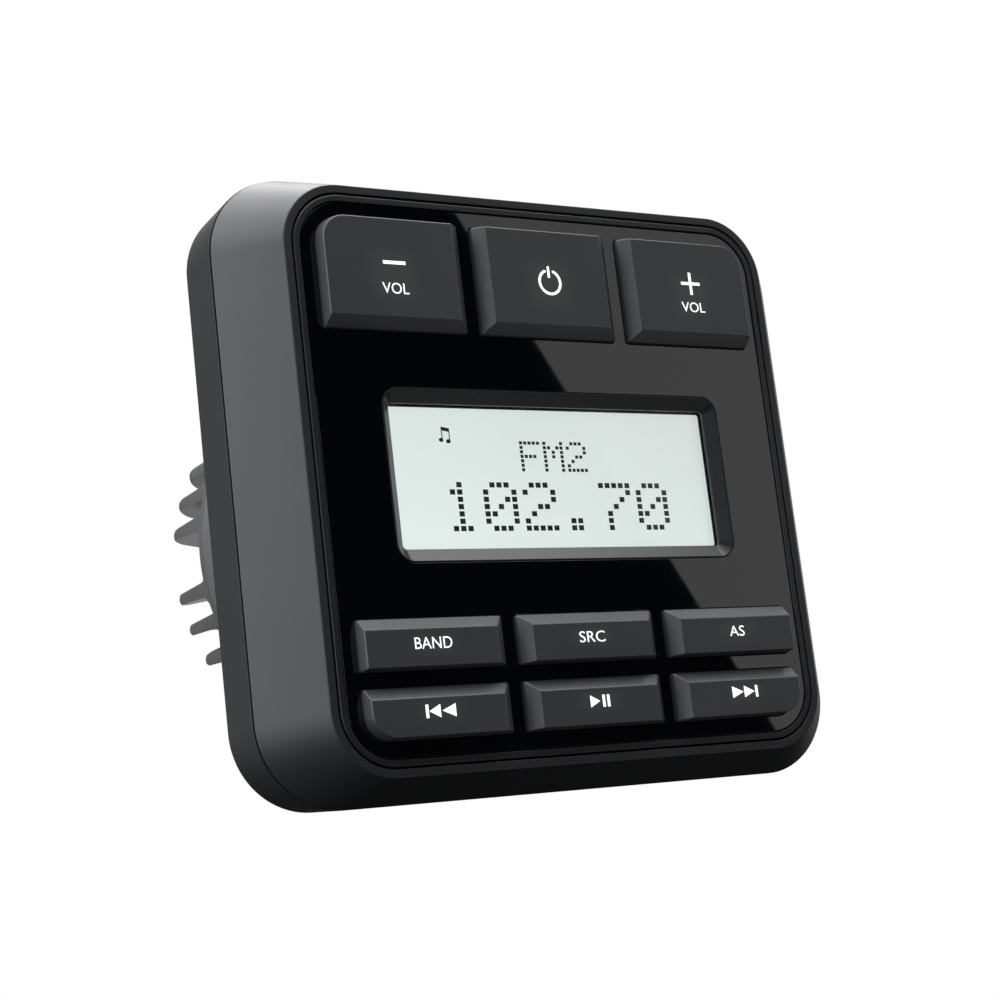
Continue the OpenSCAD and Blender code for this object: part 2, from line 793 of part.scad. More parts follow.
module amplifier_chip() {
    color("#202022") {
        slab(spigot_y - amp_t, spigot_y) square([amp_w, amp_h], center = true);
        for (i = [0:lead_count - 1])
            slab(main_back_y, spigot_y - amp_t)
                translate([(i - (lead_count - 1) / 2) * lead_pitch, 0]) square(lead_w, center = true);
    }
}

// Cross section of one fin: tapered, with a round tip and root fillets, drawn in Y and Z
module fin_profile() {
    polygon([
        [0, -fin_root], [fin_len - fin_tip, -fin_tip], [fin_len - fin_tip, fin_tip], [0, fin_root]
    ]);
    translate([fin_len - fin_tip, 0]) circle(fin_tip);
    difference() {
        translate([0, -fin_root - fin_fillet]) square([fin_fillet, 2 * (fin_root + fin_fillet)]);
        for (s = [-1, 1]) translate([fin_fillet, s * (fin_root + fin_fillet)]) circle(fin_fillet);
    }
}

module heatsink() {
    sink_r = barrel_r - sink_step;
    seal_y = (spigot_y + barrel_end_y) / 2;
    groove = 2 * seal_cord_r + close_gap;
    color("#5a5b5d") difference() {
        union() {
            bar([0, 0], barrel_end_y, sink_back_y, sink_r);
            bar([0, 0], spigot_y, barrel_end_y, spigot_r);
            intersection() {
                for (i = [0:fin_count - 1], s = [-1, 1])
                    translate([-barrel_r, sink_back_y, s * (fin_first + i * fin_pitch)])
                        rotate([90, 0, 90]) linear_extrude(2 * barrel_r) fin_profile();
                translate([0, fin_tip_y, 0]) rotate([90, 0, 0]) rotate_extrude() {
                    square([sink_r - fin_round, fin_len]);
                    translate([0, fin_round]) square([sink_r, fin_len - fin_round]);
                    translate([sink_r - fin_round, fin_round]) circle(fin_round);
                }
            }
        }
        difference() {
            bar([0, 0], seal_y - groove / 2, seal_y + groove / 2, barrel_r);
            bar([0, 0], seal_y - groove, seal_y + groove, spigot_r + spigot_fit - groove);
        }
        for (at = rear_boss_places) bar(at, spigot_y - past, sink_back_y + past, screw_r + pass_gap);
        for (s = [-1, 1]) {
            bar([s * bracket_x, 0], sink_back_y - bracket_depth, sink_back_y + past, bracket_hole_r);
            bar([s * gland_x, -gland_z], spigot_y - past, sink_back_y + past, gland_body_r + close_gap);
        }
    }
}

module heatsink_seal() {
    color("black") translate([0, (spigot_y + barrel_end_y) / 2, 0]) rotate([90, 0, 0]) rotate_extrude()
        translate([barrel_r - barrel_wall - seal_cord_r - close_gap / 2, 0]) circle(seal_cord_r);
}

module heatsink_screws() {
    color("silver") for (at = rear_boss_places)
        screw_from_back(at, sink_back_y, spigot_y - screw_reach / 2, screw_r, screw_head_r, screw_head_t);
}

// A moulded cable gland: body in the plate, collar outside and a tapered nose with the cable's bore
module gland(x, bore_r) {
    nose_y = sink_back_y + gland_collar_t;
    at = [x, -gland_z];
    color("#1a1a1a") difference() {
        union() {
            bar(at, spigot_y, sink_back_y, gland_body_r);
            bar(at, sink_back_y, nose_y, gland_collar_r);
            translate([x, nose_y + gland_nose, -gland_z]) rotate([90, 0, 0])
                cylinder(h = gland_nose, r1 = gland_tip_r, r2 = gland_body_r);
        }
        bar(at, spigot_y - past, nose_y + gland_nose + past, bore_r);
    }
}

module harness_gland() gland(-gland_x, harness_r);
module antenna_gland() gland(gland_x, antenna_r);

front_bezel();
bezel_seal();
rear_frame();
bezel_screws();
dash_gasket();
panel_seal();
panel_frame();
face_panel();
display_frame();
lcd_window();
lcd_cell();
lcd_backlight();
lcd_holder();
volume_down_key();
power_key();
volume_up_key();
band_key();
source_key();
store_key();
previous_key();
play_pause_key();
next_key();
upper_key_mat();
lower_key_mat();
key_board();
key_switches();
key_lights();
board_screws();
controller_chip();
front_socket();
link_board();
rear_socket();
barrel_housing();
barrel_seal();
barrel_screws();
main_board();
main_board_screws();
tuner_module();
capacitors();
amplifier_chip();
heatsink();
heatsink_seal();
heatsink_screws();
harness_gland();
antenna_gland();
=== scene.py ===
from math import acos, atan2, cos, pi, radians, sin, tan
import bpy
import bmesh
from mathutils import Matrix, Vector


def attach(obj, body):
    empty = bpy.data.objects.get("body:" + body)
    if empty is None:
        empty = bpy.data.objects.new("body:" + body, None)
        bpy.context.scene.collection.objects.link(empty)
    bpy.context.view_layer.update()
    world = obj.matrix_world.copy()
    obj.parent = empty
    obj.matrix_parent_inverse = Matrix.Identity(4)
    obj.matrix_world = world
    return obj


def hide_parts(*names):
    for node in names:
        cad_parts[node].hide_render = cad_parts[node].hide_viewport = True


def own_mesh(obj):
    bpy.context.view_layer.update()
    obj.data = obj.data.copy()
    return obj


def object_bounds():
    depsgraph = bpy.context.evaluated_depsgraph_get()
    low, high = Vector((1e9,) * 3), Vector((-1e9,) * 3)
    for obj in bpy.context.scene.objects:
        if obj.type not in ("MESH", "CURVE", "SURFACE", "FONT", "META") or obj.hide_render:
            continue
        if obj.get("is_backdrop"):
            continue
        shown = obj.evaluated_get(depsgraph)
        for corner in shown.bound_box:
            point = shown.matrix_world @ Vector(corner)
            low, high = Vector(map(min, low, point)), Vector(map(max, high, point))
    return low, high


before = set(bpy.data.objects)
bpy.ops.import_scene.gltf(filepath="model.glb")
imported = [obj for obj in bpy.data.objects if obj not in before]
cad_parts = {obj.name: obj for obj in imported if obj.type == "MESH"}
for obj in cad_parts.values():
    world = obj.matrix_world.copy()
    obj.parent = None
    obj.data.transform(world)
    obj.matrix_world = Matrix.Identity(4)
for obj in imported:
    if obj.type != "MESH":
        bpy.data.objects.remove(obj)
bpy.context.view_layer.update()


# The photographer's viewpoint: a long lens to the left of the unit and a little
# below it, looking up at the front so that the flared left side shows.
def placed(name, data):
    """Puts data into the scene as an object."""
    made = bpy.data.objects.new(name, data)
    bpy.context.scene.collection.objects.link(made)
    return made


lens = bpy.data.cameras.new("viewpoint")
lens.sensor_width = 36
lens.lens = 74.54
lens.clip_start = 0.01
viewpoint = placed("viewpoint", lens)
viewpoint.location = (-0.18825, -0.29631, -0.06577)
viewpoint.rotation_euler = [radians(a) for a in (100.7841, 6.5705, -31.3116)]
bpy.context.scene.camera = viewpoint


# The barrel: a round tube of glass-filled plastic that drops into the dash's gauge hole.
# It is moulded in one piece with the bosses for its screws, so its mouth has small rounded
# edges and its skin a fine spark-eroded grain.
mm = 0.001


def in_mm(*sizes):
    """Sizes given in millimetres."""
    return [size * mm for size in sizes]


barrel_r, barrel_bore, barrel_front, barrel_end = in_mm(37.5, 35.0, -1.5, 40.0)
pilot_r = 1.3 * mm
front_boss, front_boss_r = in_mm(23.688, 3)
front_boss_from, front_boss_to = barrel_front + 0.01 * mm, 10.5 * mm
rear_boss_x, rear_boss_z, rear_boss_r = in_mm(21.144, 23.483, 4.2)
rear_boss_from, rear_boss_to = in_mm(22.6, 35.9)


def rounded_path(corners, steps=4):
    """Turns (a, b, radius) corners of a closed path into points, each corner rounded by an arc."""
    points = []
    for i, (a, b, r) in enumerate(corners):
        here = Vector((a, b))
        before = Vector(corners[i - 1][:2])
        after = Vector(corners[(i + 1) % len(corners)][:2])
        u, v = (before - here).normalized(), (after - here).normalized()
        opening = acos(max(-1.0, min(1.0, u.dot(v))))
        if r <= 0 or opening > pi - 1e-3:
            points.append(here)
            continue
        reach = min(r / tan(opening / 2), 0.49 * min((before - here).length, (after - here).length))
        radius = reach * tan(opening / 2)
        centre = here + (u + v).normalized() * (radius / sin(opening / 2))
        first, last = here + u * reach - centre, here + v * reach - centre
        turn = atan2(first.x * last.y - first.y * last.x, first.dot(last))
        for k in range(steps + 1):
            c, s = cos(turn * k / steps), sin(turn * k / steps)
            points.append(centre + Vector((first.x * c - first.y * s, first.x * s + first.y * c)))
    return points


def seated(name, mesh):
    """Puts a mesh into the scene with its doubles merged and its faces outwards."""
    work = bmesh.new()
    work.from_mesh(mesh)
    bmesh.ops.remove_doubles(work, verts=work.verts, dist=1e-7)
    bmesh.ops.recalc_face_normals(work, faces=work.faces)
    work.to_mesh(mesh)
    work.free()
    return placed(name, mesh)


def shell(name, loops, lids=None):
    """Skins equal loops of points into one piece. The last loop joins the first, or else lids says
    whether a face closes each end."""
    mesh = bpy.data.meshes.new(name)
    n = len(loops[0])
    verts = [p for loop in loops for p in loop]
    faces = []
    for i in range(len(loops) if lids is None else len(loops) - 1):
        a, b = i * n, ((i + 1) % len(loops)) * n
        faces += [(a + k, a + (k + 1) % n, b + (k + 1) % n, b + k) for k in range(n)]
    if lids:
        faces += [tuple(range(n)), tuple(range((len(loops) - 1) * n, len(loops) * n))]
    mesh.from_pydata(verts, [], faces)
    return seated(name, mesh)


def turned(name, path, steps=128):
    """Turns a closed path of (radius, y) round the barrel's axis."""
    loops = []
    for k in range(steps):
        c, s = cos(2 * pi * k / steps), sin(2 * pi * k / steps)
        loops.append([(p[0] * c, p[1], p[0] * s) for p in path])
    return shell(name, loops)


def four_at(x, z):
    """The four places at x and z on both sides of the barrel's axis."""
    return [(sx * x, sz * z) for sx in (-1, 1) for sz in (-1, 1)]


def sleeves(name, places, y0, y1, r, bore):
    """Round posts along Y, each with a screw's bore in it."""
    inner_edge, outer_edge = 0.1 * mm, 0.25 * mm
    posts = []
    for x, z in places:
        post = turned(name, rounded_path([
            (bore, y0, inner_edge), (r, y0, outer_edge), (r, y1, outer_edge), (bore, y1, inner_edge)],
            steps=2), steps=32)
        post.data.transform(Matrix.Translation((x, 0, z)))
        posts.append(post)
    return posts


def as_mesh(name, work):
    """Turns a mesh in the making into a finished one."""
    mesh = bpy.data.meshes.new(name)
    work.to_mesh(mesh)
    work.free()
    return mesh


def joined(name, pieces):
    """Makes one piece of several that are cast or moulded together."""
    work = bmesh.new()
    for piece in pieces:
        work.from_mesh(piece.data)
        bpy.data.objects.remove(piece)
    return placed(name, as_mesh(name, work))


def even_shading(piece, degrees):
    """Smooth faces with crisp edges past the given angle, and flats that stay flat beside rounded edges."""
    piece.data.shade_smooth()
    piece.data.set_sharp_from_angle(angle=radians(degrees))
    steady = piece.modifiers.new("even shading", "WEIGHTED_NORMAL")
    steady.keep_sharp = True
    steady.weight = 60


def feed(tree, node, inputs):
    """Sets a node's inputs, each to a value or to what comes out of another node."""
    for label, given in inputs.items():
        if isinstance(given, bpy.types.Node):
            given = given.outputs[0]
        if isinstance(given, bpy.types.NodeSocket):
            tree.links.new(given, node.inputs[label])
        else:
            node.inputs[label].default_value = given


def add(tree, kind, inputs={}, **settings):
    """Adds a node to a tree, with its settings and its inputs. A kind with no family is a shader's."""
    node = tree.nodes.new(kind if "Node" in kind else "ShaderNode" + kind)
    for label, setting in settings.items():
        setattr(node, label, setting)
    feed(tree, node, inputs)
    return node


def new_finish(name, inputs):
    """A material whose shader has the given plain inputs, with its tree and its shader."""
    made = bpy.data.materials.new(name)
    made.use_nodes = True
    skin = made.node_tree.nodes["Principled BSDF"]
    feed(made.node_tree, skin, inputs)
    return made, made.node_tree, skin


def on_piece(tree):
    """A point's place on the piece."""
    return add(tree, "TexCoord").outputs["Object"]


def mottle(tree, scale, detail=2):
    """Cloudy variation over a piece, from 0 to 1."""
    return add(tree, "TexNoise", {
        "Vector": on_piece(tree), "Scale": scale, "Detail": detail}).outputs[0]


def toned(tree, share, first, last, start=0.0, stop=1.0):
    """A colour that goes from the first to the last with a share."""
    ramp = add(tree, "ValToRGB", {"Fac": share})
    for end, spot, colour in zip(ramp.color_ramp.elements, (start, stop), (first, last)):
        end.position = spot
        end.color = (*colour, 1)
    return ramp.outputs["Color"]


def ranged(tree, value, low, high, start=0, stop=1, course="LINEAR"):
    """A number that goes from low to high as a value goes from start to stop."""
    return add(tree, "MapRange", {
        "Value": value, "From Min": start, "From Max": stop, "To Min": low, "To Max": high},
        interpolation_type=course).outputs["Result"]


def raised(tree, height, depth, strength=1.0):
    """A relief of the given depth."""
    return add(tree, "Bump", {
        "Height": height, "Distance": depth, "Strength": strength}).outputs["Normal"]


def moulded(name, colour, drift, rough, grain, depth, cloud=14.0, gloss=0.5, metal=0):
    """A moulded or coated skin: its colour drifts between two close tones, its sheen varies with
    handling, and a grain of the given size in millimetres stands up by depth millimetres."""
    handling, grain_strength = 0.05, 0.35
    made, tree, skin = new_finish(name, {"Specular IOR Level": gloss, "Metallic": metal})
    darker, lighter = [[c * (1 + way * drift) for c in colour] for way in (-1, 1)]
    pits = mottle(tree, 1000 / grain, 3)
    feed(tree, skin, {
        "Base Color": toned(tree, mottle(tree, 1000 / cloud, 5), darker, lighter, 0.3, 0.7),
        "Roughness": ranged(tree, pits, rough - handling, rough + handling),
        "Normal": raised(tree, pits, depth * mm, grain_strength)})
    return made


def fitted(piece, finish, node=None, body="unit", crease=32):
    """Gives a piece its finish and attaches it to the body that it moves with, and hides the CAD node it
    stands for.
    """
    piece.data.materials.clear()
    piece.data.materials.append(finish)
    if crease:
        even_shading(piece, crease)
    if node:
        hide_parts(node)
    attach(piece, body)


tube = turned("barrel_tube", rounded_path([
    (barrel_bore, barrel_front, 0.4 * mm), (barrel_r, barrel_front, 0.4 * mm),
    (barrel_r, barrel_end, 0.5 * mm), (barrel_bore, barrel_end, 0.4 * mm)]))
front_bosses = sleeves("front_boss", four_at(front_boss, front_boss), front_boss_from, front_boss_to,
                       front_boss_r, pilot_r)
rear_bosses = sleeves("rear_boss", four_at(rear_boss_x, rear_boss_z), rear_boss_from, rear_boss_to,
                      rear_boss_r, pilot_r)
barrel = joined("barrel_tube", [tube] + front_bosses + rear_bosses)
barrel_skin = moulded("glass_filled_plastic", (0.07, 0.071, 0.073), 0.10, 0.50, 0.30, 0.06)
fitted(barrel, barrel_skin, "barrel_housing")


# The heat sink: a die-cast aluminium plate that closes the barrel, powder-coated grey, with a
# spigot that seals in the bore and two tapped holes for the clamp bracket. Six fins stand across
# its back, and their ends fan out like spokes.
sink_r, sink_back = in_mm(37.0, 43.0)
spigot_r, spigot_front = in_mm(34.8, 36.0)
groove_r, groove_from, groove_to = in_mm(33.8, 37.4, 38.6)
before_plate, past_plate = in_mm(34, 45)
screw_hole_r = 1.6 * mm
gland_x, gland_z, gland_hole_r = in_mm(7.5, 26.998, 5.1)
bracket_x, bracket_r, bracket_from = in_mm(25.0, 2.1, 37)
bracket_mouth_r, bracket_mouth_from = in_mm(2.6, 42.5)
blank_half = 36 * mm
fin_len, fin_tip, fin_root, fin_fillet, fin_round = in_mm(14.2, 1.0, 1.35, 1.2, 3.2)
fin_sunk, fin_edge_gap = in_mm(0.4, 0.05)
fins_each_side, first_fin, fin_pitch = 3, 6.1 * mm, 5.74 * mm
fan_step, fan_bend, fan_set_back = 1.3 * mm, 0.7 * mm, 1.03


def solid_mesh(piece):
    """The mesh that a piece has with its modifiers, or that a curve or a text makes."""
    bpy.context.view_layer.update()
    return bpy.data.meshes.new_from_object(piece.evaluated_get(bpy.context.evaluated_depsgraph_get()))


def plain(piece):
    """Turns a piece with modifiers into a plain mesh and drops the modifiers."""
    mesh = solid_mesh(piece)
    piece.modifiers.clear()
    piece.data = mesh
    return piece


def cut_out(piece, work, crossing=False):
    """Cuts the shapes in the making out of a piece. Crossing shapes count as one."""
    cutter = placed("cutter", as_mesh("cutter", work))
    cut = piece.modifiers.new("cut", "BOOLEAN")
    cut.operation, cut.solver, cut.object, cut.use_self = "DIFFERENCE", "EXACT", cutter, crossing
    plain(piece)
    bpy.data.objects.remove(cutter)


def drilled(piece, *sets):
    """Cuts round holes along Y into a piece. A set of equal holes has places, y0, y1 and a radius."""
    work = bmesh.new()
    for places, y0, y1, r in sets:
        for x, z in places:
            bmesh.ops.create_cone(
                work, cap_ends=True, segments=48, radius1=r, radius2=r, depth=y1 - y0,
                matrix=Matrix.Translation((x, (y0 + y1) / 2, z)) @ Matrix.Rotation(pi / 2, 4, "X"))
    cut_out(piece, work)


def recipe(name, inputs, output):
    """A Geometry Nodes tree with named inputs, and what comes out of its input node."""
    tree = bpy.data.node_groups.new(name, "GeometryNodeTree")
    for label, kind in inputs:
        tree.interface.new_socket(name=label, in_out="INPUT", socket_type="NodeSocket" + kind)
    tree.interface.new_socket(name=output, in_out="OUTPUT", socket_type="NodeSocketGeometry")
    return tree, add(tree, "NodeGroupInput").outputs


def reckon(tree, operation, *values):
    """One step of arithmetic in a node tree, on numbers or on other steps."""
    return add(tree, "Math", dict(enumerate(values)), operation=operation).outputs[0]


def repeated(tree, points, shape):
    """Sets a copy of a shape on each point and makes the copies real."""
    copies = add(tree, "GeometryNodeInstanceOnPoints", {"Points": points, "Instance": shape})
    return add(tree, "GeometryNodeRealizeInstances", {0: copies}).outputs[0]


def served(tree, shape, finish):
    """Ends a tree: the shape takes its finish and leaves."""
    painted = add(tree, "GeometryNodeSetMaterial", {"Geometry": shape, "Material": finish})
    add(tree, "NodeGroupOutput", {0: painted})


def grown(piece, tree, values):
    """Runs a tree on a piece with the given inputs and keeps the result as a plain mesh."""
    made = piece.modifiers.new(tree.name, "NODES")
    made.node_group = tree
    for socket in tree.interface.items_tree:
        if socket.name in values:
            made[socket.identifier] = values[socket.name]
    return plain(piece)


sink_plate = turned("heat_sink", rounded_path([
    (0, spigot_front, 0), (spigot_r, spigot_front, 0.4 * mm),
    (spigot_r, groove_from, 0.1 * mm), (groove_r, groove_from, 0.2 * mm),
    (groove_r, groove_to, 0.2 * mm), (spigot_r, groove_to, 0.1 * mm),
    (spigot_r, barrel_end, 0), (sink_r, barrel_end, 0.3 * mm),
    (sink_r, sink_back, 0.6 * mm), (0, sink_back, 0)]))
brackets, glands = [(-bracket_x, 0), (bracket_x, 0)], [(-gland_x, -gland_z), (gland_x, -gland_z)]
drilled(sink_plate, (brackets, bracket_from, past_plate, bracket_r),
        (brackets, bracket_mouth_from, past_plate, bracket_mouth_r),
        (four_at(rear_boss_x, rear_boss_z), before_plate, past_plate, screw_hole_r),
        (glands, before_plate, past_plate, gland_hole_r))

stations = [(-blank_half + fin_round * (1 - cos(a)), fin_round * (1 - sin(a)))
            for a in (radians(15 * k) for k in range(7))]
stations += [(-blank_half + step * mm, 0) for step in range(4, 17)]
stations += [(-x, drop) for x, drop in reversed(stations)]
quarter = [radians(18 * k) for k in range(6)]
fin_loops = []
for x, drop in stations:
    tip = fin_len - drop - fin_tip
    side = [(-fin_sunk, fin_root + fin_fillet)]
    side += [(fin_fillet * (1 - cos(a)), fin_root + fin_fillet * (1 - sin(a))) for a in quarter]
    side += [(tip + fin_tip * sin(a), fin_tip * cos(a)) for a in quarter]
    loop = [(x, sink_back + y, z) for y, z in side]
    loop += [(x, sink_back + y, -z) for y, z in reversed(side[:-1])]
    fin_loops.append(loop)
fin_loops.insert(0, [(x, y, 0) for x, y, z in fin_loops[0]])
fin_loops.append([(x, y, 0) for x, y, z in fin_loops[-1]])
fin_blank = shell("fin_blank", fin_loops, lids=False)

tree, given = recipe("cooling_fins", (
    ("Fin", "Geometry"), ("Fins each side", "Int"), ("First fin", "Float"), ("Pitch", "Float"),
    ("Sink radius", "Float"), ("Blank half length", "Float"), ("Fan step", "Float"), ("Bend", "Float"),
    ("Set back", "Float"), ("Coat", "Material")), "Fins")
both_sides = add(tree, "GeometryNodeJoinGeometry")
for side in (1, -1):
    up = [reckon(tree, "MULTIPLY", given[label], side) for label in ("First fin", "Pitch")]
    start, offset = [add(tree, "CombineXYZ", {"Z": z}) for z in up]
    row = add(tree, "GeometryNodeMeshLine", {
        "Count": given["Fins each side"], "Start Location": start, "Offset": offset}, mode="OFFSET")
    tree.links.new(row.outputs["Mesh"], both_sides.inputs[0])
spot = add(tree, "GeometryNodeInputPosition").outputs[0]
spot_x, spot_y, spot_z = add(tree, "SeparateXYZ", {0: spot}).outputs
level = add(tree, "GeometryNodeCaptureAttribute")
level.capture_items.new("FLOAT", "Fin height")
feed(tree, level, {"Geometry": both_sides, "Fin height": spot_z})
fin_height = level.outputs["Fin height"]


def chord_at(height):
    """Half the plate's width at a height."""
    squares = [reckon(tree, "MULTIPLY", size, size) for size in (given["Sink radius"], height)]
    return reckon(tree, "SQRT", reckon(tree, "SUBTRACT", *squares))


chord = reckon(tree, "MINIMUM", chord_at(spot_z), chord_at(
    reckon(tree, "MULTIPLY", fin_height, given["Set back"])))
across = reckon(tree, "MULTIPLY", chord, reckon(tree, "DIVIDE", spot_x, given["Blank half length"]))
from_end = reckon(tree, "SUBTRACT", chord, reckon(tree, "ABSOLUTE", across))
slope = reckon(tree, "ABSOLUTE", reckon(tree, "DIVIDE", fin_height, chord_at(fin_height)))
fanned = reckon(tree, "SMOOTH_MIN", reckon(tree, "MULTIPLY", slope, from_end),
                given["Fan step"], given["Bend"])
lowered = reckon(tree, "MULTIPLY", reckon(tree, "SIGN", fin_height), fanned)
moved = add(tree, "CombineXYZ", {
    "X": across, "Y": spot_y, "Z": reckon(tree, "SUBTRACT", spot_z, lowered)})
straight = repeated(tree, level.outputs["Geometry"], given["Fin"])
bent = add(tree, "GeometryNodeSetPosition", {"Geometry": straight, "Position": moved})
served(tree, bent, given["Coat"])

sink_coat = moulded("grey_powder_coat", (0.053, 0.0545, 0.0572), 0.12, 0.46, 0.55, 0.10, cloud=9.0)
fins = grown(fin_blank, tree, {
    "Fins each side": fins_each_side, "First fin": first_fin, "Pitch": fin_pitch,
    "Sink radius": sink_r - fin_edge_gap, "Blank half length": blank_half, "Fan step": fan_step,
    "Bend": fan_bend, "Set back": fan_set_back, "Coat": sink_coat})
sink = joined("finned_heat_sink", [sink_plate, fins])
fitted(sink, sink_coat, "heatsink")


# The screws: stainless pan heads with a cross recess, driven from outside into the bosses.
# Four hold the heat sink, and smaller sets hold the frames and the boards inside.
case_x, case_z, case_seat = in_mm(46.145, 43.113, -3.2)
post_x, post_z = in_mm(28.6, 17.65)
plate_y = -4.5 * mm
thick_screw, thin_screw = in_mm(1.25, 2.6, 1.6), in_mm(1.0, 2.0, 1.4)
screw_steel, tree, skin = new_finish("stainless_steel", {"Metallic": 1})
turning = mottle(tree, 900, 6)
feed(tree, skin, {
    "Base Color": toned(tree, turning, (0.42, 0.42, 0.41), (0.66, 0.66, 0.65)),
    "Roughness": ranged(tree, turning, 0.24, 0.42)})

screw_tree, given = recipe("screw_set", (
    ("Screw", "Geometry"), ("Across", "Float"), ("Up", "Float"), ("Centre", "Vector"), ("Steel", "Material")),
    "Screws")
four = add(screw_tree, "GeometryNodeMeshGrid", {
    "Size X": given["Across"], "Size Y": given["Up"], "Vertices X": 2, "Vertices Y": 2})
upright = add(screw_tree, "GeometryNodeTransform", {
    "Geometry": four.outputs["Mesh"], "Translation": given["Centre"], "Rotation": (pi / 2, 0, 0)})
served(screw_tree, repeated(screw_tree, upright, given["Screw"]), given["Steel"])


def screw_set(node, x, z, seat, tip, kind):
    """Four screws of one kind. The head stands on seat, away from the tip."""
    r, head_r, head_t = kind
    head_top = head_t if seat > tip else -head_t
    screw = turned(node + "_set", rounded_path([
        (0, tip - seat, 0), (r, tip - seat, 0.3 * r), (r, 0, 0), (head_r, 0, 0.15 * head_t),
        (head_r, head_top, 0.55 * head_t), (0, head_top, 0)], steps=5), steps=32)
    cross_long, cross_wide, cross_deep = 1.15 * head_r, 0.28 * head_r, 1.1 * head_t
    work = bmesh.new()
    for wide, high in ((cross_long, cross_wide), (cross_wide, cross_long)):
        bmesh.ops.create_cube(work, matrix=Matrix.Translation((0, head_top, 0)) @ Matrix.Diagonal(
            (wide, cross_deep, high, 1)))
    cut_out(screw, work, crossing=True)
    grown(screw, screw_tree, {"Across": 2 * x, "Up": 2 * z, "Centre": (0, seat, 0), "Steel": screw_steel})
    fitted(screw, screw_steel, node, crease=40)


screw_set("heatsink_screws", rear_boss_x, rear_boss_z, sink_back, 32 * mm, thick_screw)
screw_set("main_board_screws", rear_boss_x, rear_boss_z, 21 * mm, 26.6 * mm, thick_screw)
screw_set("barrel_screws", front_boss, front_boss, plate_y, 6.5 * mm, thick_screw)
screw_set("bezel_screws", case_x, case_z, case_seat, -12.5 * mm, thick_screw)
screw_set("board_screws", post_x, post_z, -12.2 * mm, -17.5 * mm, thin_screw)


# The cable glands: two moulded rubber strain reliefs pressed into the heat sink's plate, a wide
# one for the harness and a narrow one for the antenna lead. Rings on the nose let it flex.
gland_r, gland_tip_r, gland_end = in_mm(5.0, 4.8, 51)
collar_r, collar_end = in_mm(6.0, 45)
first_ring, ring_pitch, ring_taper, ring_groove_r = in_mm(45.9, 1.55, 0.05, 4.45)
gland_rubber = moulded("gland_rubber", (0.016, 0.016, 0.017), 0.18, 0.62, 0.25, 0.05, cloud=5.0, gloss=0.35)
for node, x, bore in (("harness_gland", -gland_x, 4.0 * mm), ("antenna_gland", gland_x, 2.75 * mm)):
    nose = [(bore, spigot_front, 0.2 * mm), (gland_r, spigot_front, 0.3 * mm), (gland_r, sink_back, 0),
            (collar_r, sink_back, 0.15 * mm), (collar_r, collar_end, 0.5 * mm),
            (gland_r, collar_end, 0.25 * mm)]
    for ring in range(3):
        y = first_ring + ring_pitch * ring
        rib = gland_r - ring_taper * ring
        nose += [(rib, y, 0.12 * mm), (ring_groove_r, y + 0.12 * mm, 0.1 * mm),
                 (ring_groove_r, y + 0.75 * mm, 0.1 * mm), (rib - 0.03 * mm, y + 0.87 * mm, 0.12 * mm)]
    nose += [(gland_tip_r, gland_end, 0.3 * mm), (bore, gland_end, 0.15 * mm)]
    gland = turned(node + "_rubber", rounded_path(nose, steps=3), steps=64)
    gland.data.transform(Matrix.Translation((x, 0, -gland_z)))
    fitted(gland, gland_rubber, node)


# The seals: black rubber rings and flat strips that lie in the barrel's and heat sink's
# grooves, in the seam behind the bezel, and behind the lip round the panel.
def coat_nodes(finish, *names):
    """Gives their finish to CAD nodes that stay as they are."""
    for name in names:
        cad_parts[name].material_slots[0].material = finish


seal_rubber = moulded("seal_rubber", (0.012, 0.012, 0.012), 0.2, 0.6, 0.2, 0.03, cloud=4.0, gloss=0.3)
coat_nodes(seal_rubber, "barrel_seal", "heatsink_seal", "bezel_seal", "panel_seal")


# The boards and what is soldered to them: green laminate with copper tracks under the mask,
# black chips, tinned shield can, sleeved capacitors, ivory sockets and the clear-white lights.
board_mask, tree, skin = new_finish("green_solder_mask", {"Roughness": 0.3})
laid = add(tree, "Mapping", {"Vector": on_piece(tree), "Rotation": (pi / 2, 0, 0)})
tracks = add(tree, "TexBrick", {
    "Vector": laid, "Scale": 260, "Mortar Size": 0.05, "Brick Width": 1.6}).outputs["Fac"]
feed(tree, skin, {
    "Base Color": toned(tree, tracks, (0.012, 0.075, 0.03), (0.035, 0.17, 0.07)),
    "Normal": raised(tree, tracks, 0.03 * mm)})
coat_nodes(board_mask, "main_board", "key_board", "link_board")
coat_nodes(moulded("chip_moulding", (0.02, 0.02, 0.021), 0.15, 0.55, 0.15, 0.03, cloud=3.0),
           "controller_chip", "amplifier_chip", "key_switches")
coat_nodes(moulded("shield_tin", (0.6, 0.6, 0.58), 0.08, 0.34, 0.8, 0.02, cloud=4.0, metal=1), "tuner_module")
coat_nodes(moulded("capacitor_sleeve", (0.02, 0.025, 0.07), 0.12, 0.28, 0.6, 0.02, cloud=3.0), "capacitors")
coat_nodes(moulded("socket_ivory", (0.7, 0.66, 0.55), 0.05, 0.42, 0.3, 0.03, cloud=4.0),
           "front_socket", "rear_socket")
coat_nodes(moulded("holder_white", (0.75, 0.75, 0.73), 0.04, 0.45, 0.3, 0.03, cloud=6.0), "lcd_holder")
coat_nodes(moulded("light_guide", (0.88, 0.88, 0.86), 0.03, 0.25, 0.6, 0.02, cloud=6.0),
           "lcd_backlight", "key_lights")


